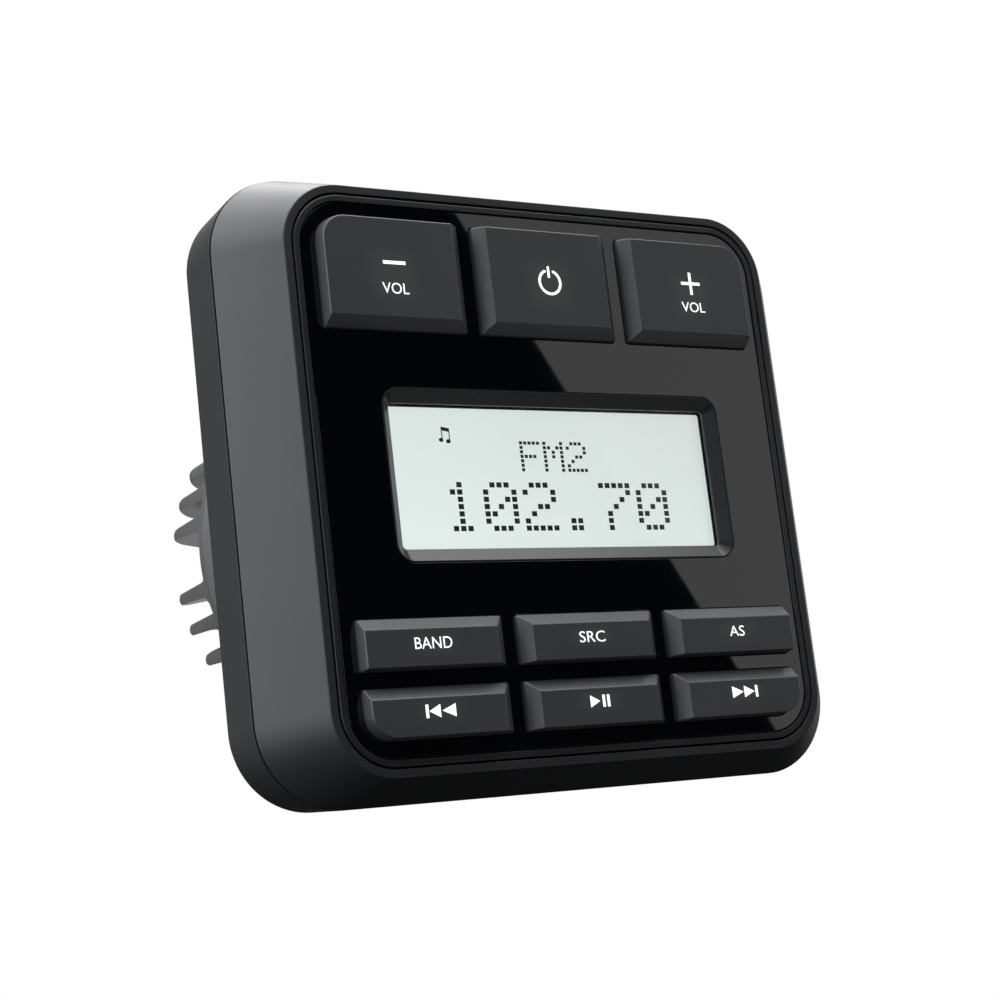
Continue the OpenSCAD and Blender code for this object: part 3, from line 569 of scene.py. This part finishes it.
# The rear frame: the straight dark band behind the seam, with a back plate that carries the
# barrel. It is moulded plastic with softly broken edges, bored for the screws that close the case.
rim_y, seam_y, band_back, front_depth = in_mm(-22.0, -12.5, -1.5, 9.5)
rim_half, rim_r, flare_x, flare_z, corner_growth = in_mm(47, 10.5, 8.4, 3.6, 3.3)
seam_half_gap, band_wall, band_draft = in_mm(0.15, 2.2, 0.7)
opening_r, opening_edge, inner_end = in_mm(29.5, 0.3, 20)
through_from, head_hole_r = in_mm(-6, 2.95)


def corner_loop(x0, x1, z0, z1, radii, y, steps=20, sides=6):
    """One loop of a rectangle with its own radius at each corner, from the lower left round."""
    points = []
    corners = ((x0, z0, 1, 1, 180), (x1, z0, -1, 1, 270), (x1, z1, -1, -1, 0), (x0, z1, 1, -1, 90))
    for (x, z, sx, sz, start), r in zip(corners, radii):
        for k in range(steps + 1):
            a = radians(start + 90 * k / steps)
            points.append(Vector((x + sx * r + r * cos(a), y, z + sz * r + r * sin(a))))
    loop = []
    for i, p in enumerate(points):
        loop.append(p)
        if i % (steps + 1) == steps:
            after = points[(i + 1) % len(points)]
            loop += [p.lerp(after, k / (sides + 1)) for k in range(1, sides + 1)]
    return loop


def flared_loop(share, inset, y):
    """The case's outline at a share of the way from the rim to the seam, inset all round."""
    x = rim_half + flare_x * share - inset
    z = rim_half + flare_z * share - inset
    return corner_loop(-x, x, -z, z, [rim_r + corner_growth * share - inset] * 4, y)


band_front = seam_y + seam_half_gap
loops = [flared_loop(1, inset, y) for inset, y in rounded_path([
    (band_wall, plate_y, 0.3 * mm), (band_wall, band_front, 0.2 * mm), (0, band_front, 0.08 * mm),
    (band_draft, band_back, 0.4 * mm), (inner_end, band_back, 0), (inner_end, plate_y, 0)])
    if inset < inner_end / 2]
for y, r in ((band_back, opening_r + opening_edge), (band_back - opening_edge, opening_r),
             (plate_y + opening_edge, opening_r), (plate_y, opening_r + opening_edge)):
    turns = [atan2(p.z, p.x) for p in loops[0]]
    loops.append([Vector((r * cos(a), y, r * sin(a))) for a in turns])
rear_frame = shell("rear_band", loops)
drilled(rear_frame, (four_at(case_x, case_z), through_from, 0, screw_hole_r),
        (four_at(case_x, case_z), case_seat, 0, head_hole_r),
        (four_at(front_boss, front_boss), through_from, 0, screw_hole_r))
band_plastic = moulded("band_plastic", (0.0105, 0.0113, 0.0132), 0.08, 0.46, 0.22, 0.05, gloss=0.4)
fitted(rear_frame, band_plastic, "rear_frame")


# The dash gasket: a sheet of closed-cell foam, die-cut to the band's outline with a round
# opening for the barrel. Its skin shows small burst cells.
gasket_inset, gasket_edge, gasket_hole_r = in_mm(2.7, 0.2, 39.5)


def made_mesh(name, curve):
    """Turns a flat curve or a text into a mesh."""
    holder = placed(name, curve)
    mesh = solid_mesh(holder)
    bpy.data.objects.remove(holder)
    mesh.name = name
    return mesh


def plate(name, outlines, y0, y1, edge=0):
    """A flat plate cut to the first outline, with the other outlines as openings and its edges rounded."""
    sheet = bpy.data.curves.new(name, "CURVE")
    sheet.dimensions, sheet.fill_mode = "2D", "BOTH"
    sheet.extrude = (y1 - y0) / 2 - edge
    sheet.bevel_depth, sheet.offset, sheet.bevel_resolution = edge, -edge, 2
    for outline in outlines:
        cut = sheet.splines.new("POLY")
        cut.points.add(len(outline) - 1)
        for point, p in zip(cut.points, outline):
            point.co = (p[0], p[-1], 0, 1)
        cut.use_cyclic_u = True
    mesh = made_mesh(name, sheet)
    mesh.transform(Matrix.Translation((0, (y0 + y1) / 2, 0)) @ Matrix.Rotation(pi / 2, 4, "X"))
    piece = seated(name, mesh)
    for face in piece.data.polygons:
        face.use_smooth = abs(face.normal.y) < 0.999
    return piece


def arc(x, z, wide, high, start, sweep, steps):
    """Points along a round or oval arc about x and z."""
    turns = [start + sweep * k / steps for k in range(steps + 1)]
    return [(x + wide * cos(a), z + high * sin(a)) for a in turns]


gasket_hole = arc(0, 0, gasket_hole_r, gasket_hole_r, 0, 2 * pi, 128)[:-1]
gasket = plate("foam_gasket", [flared_loop(1, gasket_inset, 0), gasket_hole], band_back, 0, gasket_edge)
gasket_foam = moulded("closed_cell_foam", (0.02, 0.02, 0.02), 0.25, 0.8, 0.5, 0.12, cloud=3.0, gloss=0.2)
fitted(gasket, gasket_foam, "dash_gasket", crease=0)


# The front bezel: the flared charcoal moulding that gives the unit its face. Its sides run out
# from the rim to the seam with growing corners, and a narrow lip frames the opening.
lip, lip_back, bezel_wall = 1.3 * mm, rim_y + 3.5 * mm, 1.5 * mm
bezel_end = seam_y - seam_half_gap
case_post_from, case_post_to, case_post_r = in_mm(-16, -4.6, 3)


def square_loop(half, r, y):
    return corner_loop(-half, half, -half, half, [r] * 4, y)


loops = []
for inset, y in rounded_path([
        (lip, rim_y, 0.1 * mm), (0, rim_y, 0.14 * mm), (0, bezel_end, 0.12 * mm),
        (bezel_wall, bezel_end, 0.2 * mm), (bezel_wall, lip_back, 0.3 * mm), (lip, lip_back, 0)], steps=6):
    if inset > lip - 0.5 * mm and y <= lip_back + 1e-6:
        loops.append(square_loop(rim_half - inset, rim_r - inset, y))
    else:
        loops.append(flared_loop(max(0.0, (y - rim_y) / front_depth), inset, y))
bezel = joined("flared_bezel", [shell("flared_bezel", loops)] + sleeves(
    "case_post", four_at(case_x, case_z), case_post_from, case_post_to, case_post_r, pilot_r))
bezel_plastic = moulded("bezel_plastic", (0.0155, 0.0168, 0.0198), 0.06, 0.40, 0.20, 0.05)
fitted(bezel, bezel_plastic, "front_bezel")


# The panel frame: a thin satin-black border inside the groove. Behind the panel it becomes the
# plate that guides the keys, with a flange that seals behind the lip and posts for the board.
border_half, border_r, border_w, flange_w = in_mm(45.36, 8.86, 1.06, 0.74)
flange_front, flange_back = rim_y + 3.8 * mm, rim_y + 4.8 * mm
panel_back, guide_back, board_front = rim_y + 2.2 * mm, rim_y + 4.4 * mm, rim_y + 8.2 * mm
guide_half, guide_r, guide_gap = in_mm(44.6, 8.1, 0.85)
display_room = in_mm(-34.7, 34.7, 15.55, 1.75)
board_post_r, board_pilot_r = in_mm(2.2, 1.05)
key_field, key_gap, key_w, key_shift = in_mm(41.5, 2.8, 25.8, 0.5)
key_rows = in_mm(23.15, 41.5), in_mm(-30.9, -22.9), in_mm(-41.5, -33.5)
key_corner, key_edge = in_mm(4.212, 0.4)
round_corners = {(0, 2): 0, (2, 2): 1, (2, 0): 2, (0, 0): 3}
cells = [(col, row) for row in range(3) for col in range(3)]


def key_box(col, row):
    """Left, right, low and high edge of a key, and its corner radii."""
    x0 = -key_field + col * (key_w + key_gap)
    x1 = x0 + key_w
    if col == 1:
        x1 += key_shift
    if col == 2:
        x0 += key_shift
    radii = [key_edge] * 4
    if (col, row) in round_corners:
        radii[round_corners[col, row]] = key_corner
    return x0, x1, key_rows[row][0], key_rows[row][1], radii


def key_loop(col, row, grow, y=0, **fineness):
    """A key's outline, grown all round."""
    x0, x1, z0, z1, radii = key_box(col, row)
    return corner_loop(x0 - grow, x1 + grow, z0 - grow, z1 + grow, [r + grow for r in radii], y, **fineness)


def key_plate(name, half, r, gap, window, y0, y1, edge):
    """A square plate with openings for the keys and the display's window."""
    left, right, high, corner = window
    keys = [key_loop(col, row, gap, sides=1) for col, row in cells]
    window = corner_loop(left, right, -high, high, [corner] * 4, 0)
    return plate(name, [square_loop(half, r, 0)] + keys + [window], y0, y1, edge)


border = shell("border", [square_loop(border_half - inset, border_r - inset, y) for inset, y in rounded_path([
    (border_w, rim_y, 0.08 * mm), (0, rim_y, 0.24 * mm), (0, flange_front, 0.1 * mm),
    (-flange_w, flange_front, 0.1 * mm), (-flange_w, flange_back, 0.1 * mm),
    (border_w, flange_back, 0.1 * mm)])])
guide = key_plate("guide", guide_half, guide_r, guide_gap, display_room, panel_back, guide_back, 0.08 * mm)
panel_frame = joined("panel_border", [border, guide] + sleeves(
    "board_post", four_at(post_x, post_z), panel_back, board_front, board_post_r, board_pilot_r))
frame_plastic = moulded("frame_plastic", (0.0105, 0.0112, 0.0131), 0.10, 0.36, 0.18, 0.03)
fitted(panel_frame, frame_plastic, "panel_frame")


# The face panel: a flat plate of high-gloss black plastic with polished openings for the keys
# and the display. It mirrors the room, with the faint ripple and wipe marks of moulded gloss.
panel_half, panel_r, panel_front, panel_key_gap = 44.05 * mm, 7.55 * mm, rim_y + 0.2 * mm, 0.2 * mm
display_opening = in_mm(-32.68, 33.33, 14.18, 3.13)
panel = key_plate("gloss_panel", panel_half, panel_r, panel_key_gap, display_opening, panel_front, panel_back,
                  0.04 * mm)
panel_gloss, tree, skin = new_finish("black_gloss", {"Specular IOR Level": 1.0})
dragged = add(tree, "Mapping", {
    "Vector": on_piece(tree), "Rotation": (0, 0.5, 0), "Scale": (30, 900, 900)})
wipes = add(tree, "TexNoise", {"Vector": dragged, "Scale": 1, "Detail": 2})
ripple = mottle(tree, 45, 4)
feed(tree, skin, {
    "Base Color": toned(tree, ripple, (0.0004, 0.0009, 0.0021), (0.0007, 0.0014, 0.0030)),
    "Roughness": ranged(tree, wipes, 0.01, 0.03),
    "Normal": raised(tree, ripple, 0.01 * mm, 0.01)})
fitted(panel, panel_gloss, "face_panel", crease=0)


# The display frame: a satin-black surround whose walls slope in to the window like a picture
# mount. It is snapped in from behind, with a flange against the panel's back.
recess_x, recess_z, recess_r = in_mm(33.25, 14.1, 3.05)
slope_w, slope_end, slim_left = 2.3 * mm, rim_y + 1.4 * mm, 0.65 * mm
window_seat, window_front, cell_front = 1.5 * mm, rim_y + 1.9 * mm, rim_y + 3.0 * mm
snap_flange = 1.0 * mm


def display_loop(inset, y):
    """The surround's outline. Its left side is narrower, save at the window's seat and the flange."""
    in_seat = inset > 1 * mm and y > rim_y + 1.6 * mm
    slim = 0 if inset < 0 or in_seat else slim_left * (1 - inset / slope_w)
    return corner_loop(-recess_x + slim + inset, recess_x - inset, -recess_z + inset, recess_z - inset,
                       [recess_r - inset] * 4, y, steps=8, sides=4)


surround = shell("display_surround", [display_loop(inset, y) for inset, y in rounded_path([
    (0, panel_front, 0.12 * mm), (0.25 * mm, panel_front, 0.1 * mm), (slope_w, slope_end, 0.12 * mm),
    (slope_w, window_front, 0.05 * mm), (window_seat, window_front, 0), (window_seat, cell_front, 0),
    (-snap_flange, cell_front, 0.1 * mm), (-snap_flange, panel_back, 0.1 * mm),
    (0, panel_back, 0)], steps=3)])
surround_plastic = moulded("surround_plastic", (0.0075, 0.0088, 0.0108), 0.10, 0.29, 0.18, 0.02)
fitted(surround, surround_plastic, "display_frame", crease=25)


# The display: a clear hard-coated window over a pale backlit liquid-crystal cell, with a printed
# mask round the lit field. The light comes from behind, and the glow is painted darker towards the
# upper right as shade from the frame.
window_clear, tree, skin = new_finish("hard_coated_window", {"Transmission Weight": 1, "IOR": 1.25})
wiped = mottle(tree, 60)
feed(tree, skin, {
    "Base Color": toned(tree, wiped, (0.95, 0.97, 0.96), (0.98, 0.99, 0.985)),
    "Roughness": ranged(tree, wiped, 0.01, 0.05)})
coat_nodes(window_clear, "lcd_window")

lcd_pale, tree, skin = new_finish("backlit_cell", {
    "Roughness": 0.3, "Base Color": (0.05, 0.055, 0.053, 1), "Emission Strength": 1})
# painted_shade_slant paints the frame's shade into the cell's glow, darker towards the upper right.
painted_shade_slant, glow_middle, glow_unevenness = (-8.0, 0, -16.0), 0.42, 0.12
slant = add(tree, "VectorMath", {0: on_piece(tree), 1: painted_shade_slant}, operation="DOT_PRODUCT")
glow = reckon(tree, "MULTIPLY_ADD", mottle(tree, 40), glow_unevenness,
              reckon(tree, "ADD", slant.outputs["Value"], glow_middle))
feed(tree, skin, {"Emission Color": toned(tree, glow, (0.55, 0.595, 0.58), (0.745, 0.825, 0.80))})
coat_nodes(lcd_pale, "lcd_cell")

mask_x, mask_z, mask_r = in_mm(31.7, 12.55, 1.4)
lit_x, lit_z, lit_r = in_mm(31.0, 11.55, 0.4)
mask = plate("cell_mask", [
    corner_loop(-x, x, -z, z, [r] * 4, 0) for x, z, r in ((mask_x, mask_z, mask_r), (lit_x, lit_z, lit_r))],
    cell_front - 0.06 * mm, cell_front - 0.005 * mm)
mask_print = moulded("mask_print", (0.004, 0.004, 0.0045), 0.2, 0.5, 0.2, 0.01, cloud=3.0)
fitted(mask, mask_print, crease=0)


# The figures on the display: square liquid-crystal dots in rows of five by seven, a small line
# above and a large number below, with a note sign at the left. They lie in the cell's front.
dot_shapes = {
    "F": "11111 10000 10000 11110 10000 10000 10000", "M": "10001 11011 10101 10101 10001 10001 10001",
    "0": "01110 10001 10011 10101 11001 10001 01110", "1": "00100 01100 00100 00100 00100 00100 01110",
    "2": "01110 10001 00001 00110 01000 10000 11111", "7": "11111 00001 00010 00100 01000 01000 01000",
    ".": "00000 00000 00000 00000 00000 01100 01100"}
dot_fill, dot_depth, dot_y = 0.72, 0.02 * mm, cell_front - 0.02 * mm
dot_ink = moulded("display_dots", (0.002, 0.0028, 0.0034), 0.3, 0.6, 0.3, 0.01, cloud=6.0, gloss=0.08)

dot_tree, given = recipe("display_dots", (
    ("Places", "Geometry"), ("Dot width", "Float"), ("Dot height", "Float"), ("Dot depth", "Float"),
    ("Ink", "Material")), "Dots")
dot_size = add(dot_tree, "CombineXYZ", {
    "X": given["Dot width"], "Y": given["Dot depth"], "Z": given["Dot height"]})
dot = add(dot_tree, "GeometryNodeMeshCube", {"Size": dot_size})
served(dot_tree, repeated(dot_tree, given["Places"], dot.outputs["Mesh"]), given["Ink"])


def dot_line(name, words, x, z, advance, pitch_x, pitch_z):
    """A row of characters whose first dot, at the upper left, lies at x and z."""
    places = []
    for i, letter in enumerate(words):
        for j, row in enumerate(dot_shapes[letter].split()):
            places += [(x + i * advance + k * pitch_x, dot_y, z - j * pitch_z)
                       for k, lit in enumerate(row) if lit == "1"]
    mesh = bpy.data.meshes.new(name)
    mesh.from_pydata(places, [], [])
    return grown(placed(name, mesh), dot_tree, {
        "Dot width": pitch_x * dot_fill, "Dot height": pitch_z * dot_fill, "Dot depth": dot_depth,
        "Ink": dot_ink})


lines = [dot_line("band_line", "FM2", -6.11 * mm, 6.0 * mm, 4.55 * mm, 0.826 * mm, 0.753 * mm),
         dot_line("number_line", "102.70", -21.45 * mm, -1.09 * mm, 7.545 * mm, 1.345 * mm, 1.196 * mm)]
note_parts = [[(x * mm, z * mm) for x, z in (
    (-20.98, 6.3), (-20.98, 8.45), (-19.45, 8.2), (-19.45, 6.1), (-19.62, 6.1), (-19.62, 7.6), (-20.81, 7.82),
    (-20.81, 6.3))]]
note_parts += [arc(x * mm, z * mm, 0.42 * mm, 0.35 * mm, 0, 2 * pi, 24)[:-1]
               for x, z in ((-21.12, 6.25), (-19.8, 6.05))]
note = [plate("note_sign", [part], dot_y - dot_depth / 2, dot_y + dot_depth / 2) for part in note_parts]
figures = joined("display_figures", lines + note)
fitted(figures, dot_ink, crease=0)


# The key mats: two sheets of moulded silicone between the keys and their board. A skirt round
# each one seals on the board, and a soft pad under every key gives way as the key goes in.
key_names = (("volume_down", "power", "volume_up"), ("band", "source", "store"),
             ("previous", "play_pause", "next"))
mat_back, skirt, mat_edge = rim_y + 5.6 * mm, 1.2 * mm, 0.1 * mm
mat_half, mat_start, mat_corner = in_mm(42.4, 20.4, 10)
pad_front, pad_root, pad_inset, pad_corner = rim_y + 3.4 * mm, 0.3 * mm, 2 * mm, 1 * mm
mat_silicone = moulded("mat_silicone", (0.3, 0.3, 0.31), 0.07, 0.58, 0.3, 0.03, cloud=6.0)
for node, z0, z1, corners, rows in (
        ("upper_key_mat", mat_start, mat_half, (0, 0, 1, 1), (0,)),
        ("lower_key_mat", -mat_half, -mat_start, (1, 1, 0, 0), (1, 2))):
    sheet = shell(node.replace("key_mat", "mat_sheet"), [
        corner_loop(-mat_half + inset, mat_half - inset, z0 + inset, z1 - inset,
                    [max(mat_corner * corner - inset, mat_edge) for corner in corners], y, steps=8, sides=2)
        for inset, y in ((mat_edge, guide_back), (0, guide_back + mat_edge), (0, board_front - mat_edge),
                         (mat_edge, board_front), (skirt - mat_edge, board_front),
                         (skirt, board_front - mat_edge), (skirt, mat_back))], lids=True)
    fitted(sheet, mat_silicone, node)
    for col, row in cells:
        if row not in rows:
            continue
        x0, x1, low, high, radii = key_box(col, row)
        pad = shell(key_names[row][col] + "_pad", [
            corner_loop(x0 + inset, x1 - inset, low + inset, high - inset, [pad_corner] * 4, y,
                        steps=4, sides=1)
            for inset, y in ((pad_inset, guide_back + pad_root), (pad_inset, pad_front + mat_edge),
                             (pad_inset + mat_edge, pad_front))], lids=True)
        fitted(pad, mat_silicone, node)
        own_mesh(pad)


# The keys: nine dark satin caps moulded as wide wedges. Their inward sides slope like a chisel,
# their outward sides stand nearly upright, and a hidden collar keeps each one behind the panel.
# The light behind the legends shines faintly through the caps.
key_foot, key_face, key_soft = rim_y - 0.4 * mm, rim_y - 2.27 * mm, 0.22 * mm
collar, collar_front, collar_back = 0.65 * mm, rim_y + 2.3 * mm, rim_y + 3.3 * mm
upright_side, key_draft, least_edge, side_land, top_land = in_mm(0.3, 0.3, 0.12, 0.2, 0.3)
chisel_left, chisel_right, chisel_low, chisel_high = in_mm(1.7, 2.0, 1.7, 1.9)
halo_pitch, halo_x, halo_z = in_mm(29.45, 3.4, 2.6)
upper_halo_z, upper_halo_high, halo_wide = in_mm(31.9, 2.4, 1.8)
lower_halos_z = in_mm(-27.1, -37.5)
key_plastic = moulded("key_plastic", (0.034, 0.0358, 0.0412), 0.06, 0.40, 0.20, 0.03)
tree = key_plastic.node_tree
cap_x, _, cap_z = add(tree, "SeparateXYZ", {0: on_piece(tree)}).outputs


def off_by(value, middle, half):
    """How far a value lies outside a stretch about its middle."""
    away = reckon(tree, "ABSOLUTE", reckon(tree, "SUBTRACT", value, middle))
    return reckon(tree, "MAXIMUM", reckon(tree, "SUBTRACT", away, half), 0)


beside = off_by(reckon(tree, "WRAP", cap_x, halo_pitch / 2, -halo_pitch / 2), 0, halo_wide)
above = off_by(cap_z, upper_halo_z, upper_halo_high)
for line in lower_halos_z:
    above = reckon(tree, "MINIMUM", above, off_by(cap_z, line, 0))
squares = [reckon(tree, "POWER", reckon(tree, "DIVIDE", part, reach), 2)
           for part, reach in ((beside, halo_x), (above, halo_z))]
away = reckon(tree, "SQRT", reckon(tree, "ADD", *squares))
feed(tree, tree.nodes["Principled BSDF"], {
    "Emission Color": ranged(tree, away, 1, 0, course="SMOOTHSTEP"), "Emission Strength": 0.009})


def cap_loop(col, row, insets, share, y):
    """A loop of a key's cap, drawn in at its left, right, low and high side."""
    x0, x1, z0, z1, radii = key_box(col, row)
    left, right, low, high = insets
    return corner_loop(x0 + left, x1 - right, z0 + low, z1 - high,
                       [max(r - key_draft * share, least_edge) for r in radii], y, steps=8, sides=2)


rise = key_foot - key_face
wall_end = 1 - key_soft / rise
wall_steps = (0.06, 0.5, wall_end)
for col, row in cells:
    slopes = [upright_side if col == 0 else chisel_left, upright_side if col == 2 else chisel_right,
              chisel_low if row == 0 else upright_side, upright_side if row == 0 else chisel_high]
    lands = [side_land if col == 0 else least_edge, side_land if col == 2 else least_edge, least_edge,
             top_land if row == 0 else least_edge]
    loops = [key_loop(col, row, grow, y, steps=8, sides=2) for grow, y in (
        (collar, collar_back), (collar, collar_front), (0, collar_front), (0, key_foot + 0.15 * mm))]
    loops += [cap_loop(col, row, [s * t for s in slopes], t, key_foot - rise * t) for t in wall_steps]
    for t in (k / 6 for k in range(1, 7)):
        insets = [(1 - t) ** 2 * s * wall_end + 2 * t * (1 - t) * s + t * t * (s + land)
                  for s, land in zip(slopes, lands)]
        loops.append(cap_loop(col, row, insets, 1, key_face + (1 - t) ** 2 * key_soft))
    name = key_names[row][col]
    cap = shell(name + "_cap", loops, lids=True)
    fitted(cap, key_plastic, name + "_key", body=name, crease=25)


# The legends: clear resin moulded through each key's face and lit from behind, in plain signs
# and words for what the key does.
legend_front, legend_back = rim_y - 2.3 * mm, rim_y - 2.2 * mm
legend_glow, tree, skin = new_finish("lit_legend", {"Roughness": 0.35, "Emission Strength": 0.75})
resin = toned(tree, mottle(tree, 700), (0.82, 0.86, 0.88), (0.97, 0.98, 1.0))
feed(tree, skin, {"Base Color": resin, "Emission Color": resin})


def bar_sign(x, z, w, h):
    return [((x + a * w / 2) * mm, (z + b * h / 2) * mm) for a, b in ((-1, -1), (1, -1), (1, 1), (-1, 1))]


def arrow_sign(x, z, w, h):
    """A triangle from its flat side at x to its point w further on."""
    return [(x * mm, (z - h / 2) * mm), ((x + w) * mm, z * mm), (x * mm, (z + h / 2) * mm)]


def lettering(words, width, cap_height, x, z):
    """Flat capitals of the given width and height, centred at x and z."""
    writing = bpy.data.curves.new(words, "FONT")
    writing.body = words
    writing.extrude, writing.offset, writing.resolution_u = 0.05, -0.003, 4
    mesh = made_mesh(words, writing)
    low, high = [Vector([end(v.co[i] for v in mesh.vertices) for i in range(3)]) for end in (min, max)]
    size = high - low
    mesh.transform(Matrix.Translation(-(low + high) / 2))
    mesh.transform(Matrix.Diagonal((
        width * mm / size.x, cap_height * mm / size.y, (legend_back - legend_front) / size.z, 1)))
    mesh.transform(Matrix.Translation((x * mm, (legend_front + legend_back) / 2, z * mm)) @
                   Matrix.Rotation(pi / 2, 4, "X"))
    return seated(words, mesh)


def signs(*outlines):
    return plate("sign", outlines, legend_front, legend_back)


ring_x, ring_z, ring_r, stroke = in_mm(0.2, 32.3, 2.03, 0.23)
ring_gap = radians(25)
ring_from, ring_sweep = pi / 2 + ring_gap, 2 * pi - 2 * ring_gap
ring_to = ring_from + ring_sweep
outer, inner = [arc(ring_x, ring_z, r, r, ring_from, ring_sweep, 48)[1:-1]
                for r in (ring_r + stroke, ring_r - stroke)]
first_end, last_end = [
    arc(ring_x + ring_r * cos(a), ring_z + ring_r * sin(a), stroke, stroke, a, turn, 8)
    for a, turn in ((ring_from, -pi), (ring_to, pi))]
power_ring = outer + last_end + inner[::-1] + first_end[::-1]
stem_x, stem_low, stem_high = in_mm(0.12, 33.25, 34.85)
power_stem = arc(stem_x, stem_high, stroke, stroke, 0, pi, 8)
power_stem += arc(stem_x, stem_low, stroke, stroke, pi, pi, 8)
plus_x, plus_z, plus_reach, plus_half = 29.5, 33.75, 2.0, 0.265
plus_quarter = ((plus_reach, plus_half), (plus_half, plus_half), (plus_half, plus_reach))
plus_sign = [((plus_x + x * c - z * s) * mm, (plus_z + x * s + z * c) * mm)
             for c, s in ((1, 0), (0, 1), (-1, 0), (0, -1)) for x, z in plus_quarter]
legends = {
    "volume_down": [signs(bar_sign(-29.1, 33.8, 4.05, 0.56)), lettering("VOL", 4.75, 1.8, -29.3, 29.55)],
    "power": [signs(power_ring), signs(power_stem)],
    "volume_up": [signs(plus_sign), lettering("VOL", 4.9, 1.75, 29.5, 29.5)],
    "band": [lettering("BAND", 6.6, 1.78, -29.5, -27.05)],
    "source": [lettering("SRC", 4.95, 1.78, -0.1, -27.1)],
    "store": [lettering("AS", 3.1, 1.75, 29.3, -27.15)],
    "previous": [signs(bar_sign(-31.9, -37.5, 0.5, 2.05), arrow_sign(-29.55, -37.5, -2.0, 2.05),
                       arrow_sign(-26.85, -37.5, -2.4, 2.05))],
    "play_pause": [signs(arrow_sign(-2.0, -37.5, 1.85, 1.95), bar_sign(0.6, -37.5, 0.5, 1.95),
                         bar_sign(1.5, -37.5, 0.5, 1.95))],
    "next": [signs(arrow_sign(26.6, -37.4, 2.35, 1.95), arrow_sign(29.1, -37.4, 2.15, 1.95),
                   bar_sign(31.7, -37.4, 0.5, 1.95))],
}
for name, pieces in legends.items():
    fitted(joined(name + "_legend", pieces), legend_glow, body=name, crease=0)


# The studio: a white room with a pale floor well below the unit. Soft lights hang above and stand at
# both sides, a fill shines from beside the camera, a card lays the slanted sheen on the panel, and a
# small card lights the fins from behind.
floor_r, floor_z, fade_from, fade_to = 1.9, -0.25, 0.5, 1.8
glossy_share, unlit = 0.003, (0.003, 0.003, 0.003, 1)
work = bmesh.new()
bmesh.ops.create_circle(work, cap_ends=True, segments=96, radius=floor_r)
floor_mesh = as_mesh("floor", work)
floor_mesh.transform(Matrix.Translation((0, 0, floor_z)))
floor = placed("floor", floor_mesh)
pale, tree, skin = new_finish("pale_floor", {"Roughness": 0.8, "Specular IOR Level": 0.0})
ray = add(tree, "LightPath").outputs
seen = reckon(tree, "MAXIMUM", ray["Is Camera Ray"], ray["Is Transmission Ray"])
shown = add(tree, "Mix", {
    "Factor": reckon(tree, "MULTIPLY_ADD", ray["Is Glossy Ray"], glossy_share, seen), "A": unlit,
    "B": toned(tree, mottle(tree, 3), (0.86, 0.86, 0.86), (0.90, 0.90, 0.90))}, data_type="RGBA")
feed(tree, skin, {"Base Color": shown.outputs["Result"]})
reach = add(tree, "VectorMath", {0: on_piece(tree), 1: (0, 0, floor_z)}, operation="DISTANCE")
fading = add(tree, "MixShader", {
    0: ranged(tree, reach.outputs["Value"], 0, 1, fade_from, fade_to, "SMOOTHSTEP"), 1: skin,
    2: add(tree, "BsdfTransparent")})
feed(tree, tree.nodes["Material Output"], {"Surface": fading})
floor_mesh.materials.append(pale)
floor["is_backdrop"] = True

world = bpy.data.worlds.new("white_room")
bpy.context.scene.world = world
world.use_nodes = True
tree = world.node_tree
tree.nodes.clear()
ray = add(tree, "LightPath").outputs
heading = add(tree, "TexCoord").outputs["Generated"]
_, turn_y, turn_z = add(tree, "SeparateXYZ", {0: heading}).outputs
back_wall = reckon(tree, "MULTIPLY", ranged(tree, turn_y, 0.008, 0.22, -0.15, 0.45),
                   ranged(tree, turn_z, 0.02, 1.0, -0.3, -0.08))
softened = add(tree, "Mix", {
    "Factor": ray["Is Glossy Ray"], "A": ranged(tree, turn_z, 0.01, 0.45, -0.1, 0.3), "B": back_wall})
shown = add(tree, "Mix", {
    "Factor": reckon(tree, "MAXIMUM", ray["Is Camera Ray"], ray["Is Transmission Ray"]),
    "A": softened.outputs["Result"], "B": 1})
sky = add(tree, "Background", {"Color": (1, 1, 1, 1), "Strength": shown.outputs["Result"]})
add(tree, "OutputWorld", {"Surface": sky})


def soft_light(name, spot, towards, wide, high, radiance, turn=0.0):
    """A rectangular soft light at spot, facing a point, out of the camera's sight."""
    lamp = bpy.data.lights.new(name, "AREA")
    lamp.shape, lamp.size, lamp.size_y = "RECTANGLE", wide, high
    lamp.energy = radiance * pi * wide * high
    lit = placed(name, lamp)
    lit.location = spot
    facing = (Vector(towards) - Vector(spot)).to_track_quat("-Z", "Y").to_matrix().to_4x4()
    lit.rotation_euler = (facing @ Matrix.Rotation(turn, 4, "Z")).to_euler()
    lit.visible_camera = False


soft_light("left_light", (-0.8, 0.05, 0.2), (0, 0, 0), 0.6, 0.9, 5.0)
soft_light("right_light", (0.9, 0.05, 0.2), (0, 0, 0), 0.4, 0.5, 2.6)
soft_light("top_light", (0.17, -0.08, 0.9), (0.17, -0.08, 0), 1.15, 0.95, 4.5)
soft_light("top_back_light", (0.2, 0.5, 0.9), (0, 0, 0), 0.9, 0.5, 4.5)
soft_light("upper_left_light", (-0.6, 0.02, 0.82), (0, 0, 0), 0.75, 0.6, 4.2)
soft_light("front_fill", (-0.05, -0.35, 0.45), (0, 0, 0), 0.4, 0.3, 1.1)
soft_light("low_fill", (-0.5, -0.6, 0.0), (0, 0, 0), 0.4, 0.4, 2.6)
soft_light("fin_card", (-0.006, 0.158, -0.033), (-0.033, 0.05, 0.01), 0.095, 0.05, 1.5)
soft_light("low_card", (0.13, -0.14, -0.2), (0.05, -0.02, 0.03), 0.35, 0.2, 0.35)
soft_light("panel_sheen", (0.5383, -0.5708, 0.2075), (0.5383, 0, 0.2075), 0.3, 0.6, 0.57,
           turn=radians(30.48))
bpy.context.scene.view_settings.view_transform = "Standard"

low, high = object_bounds()
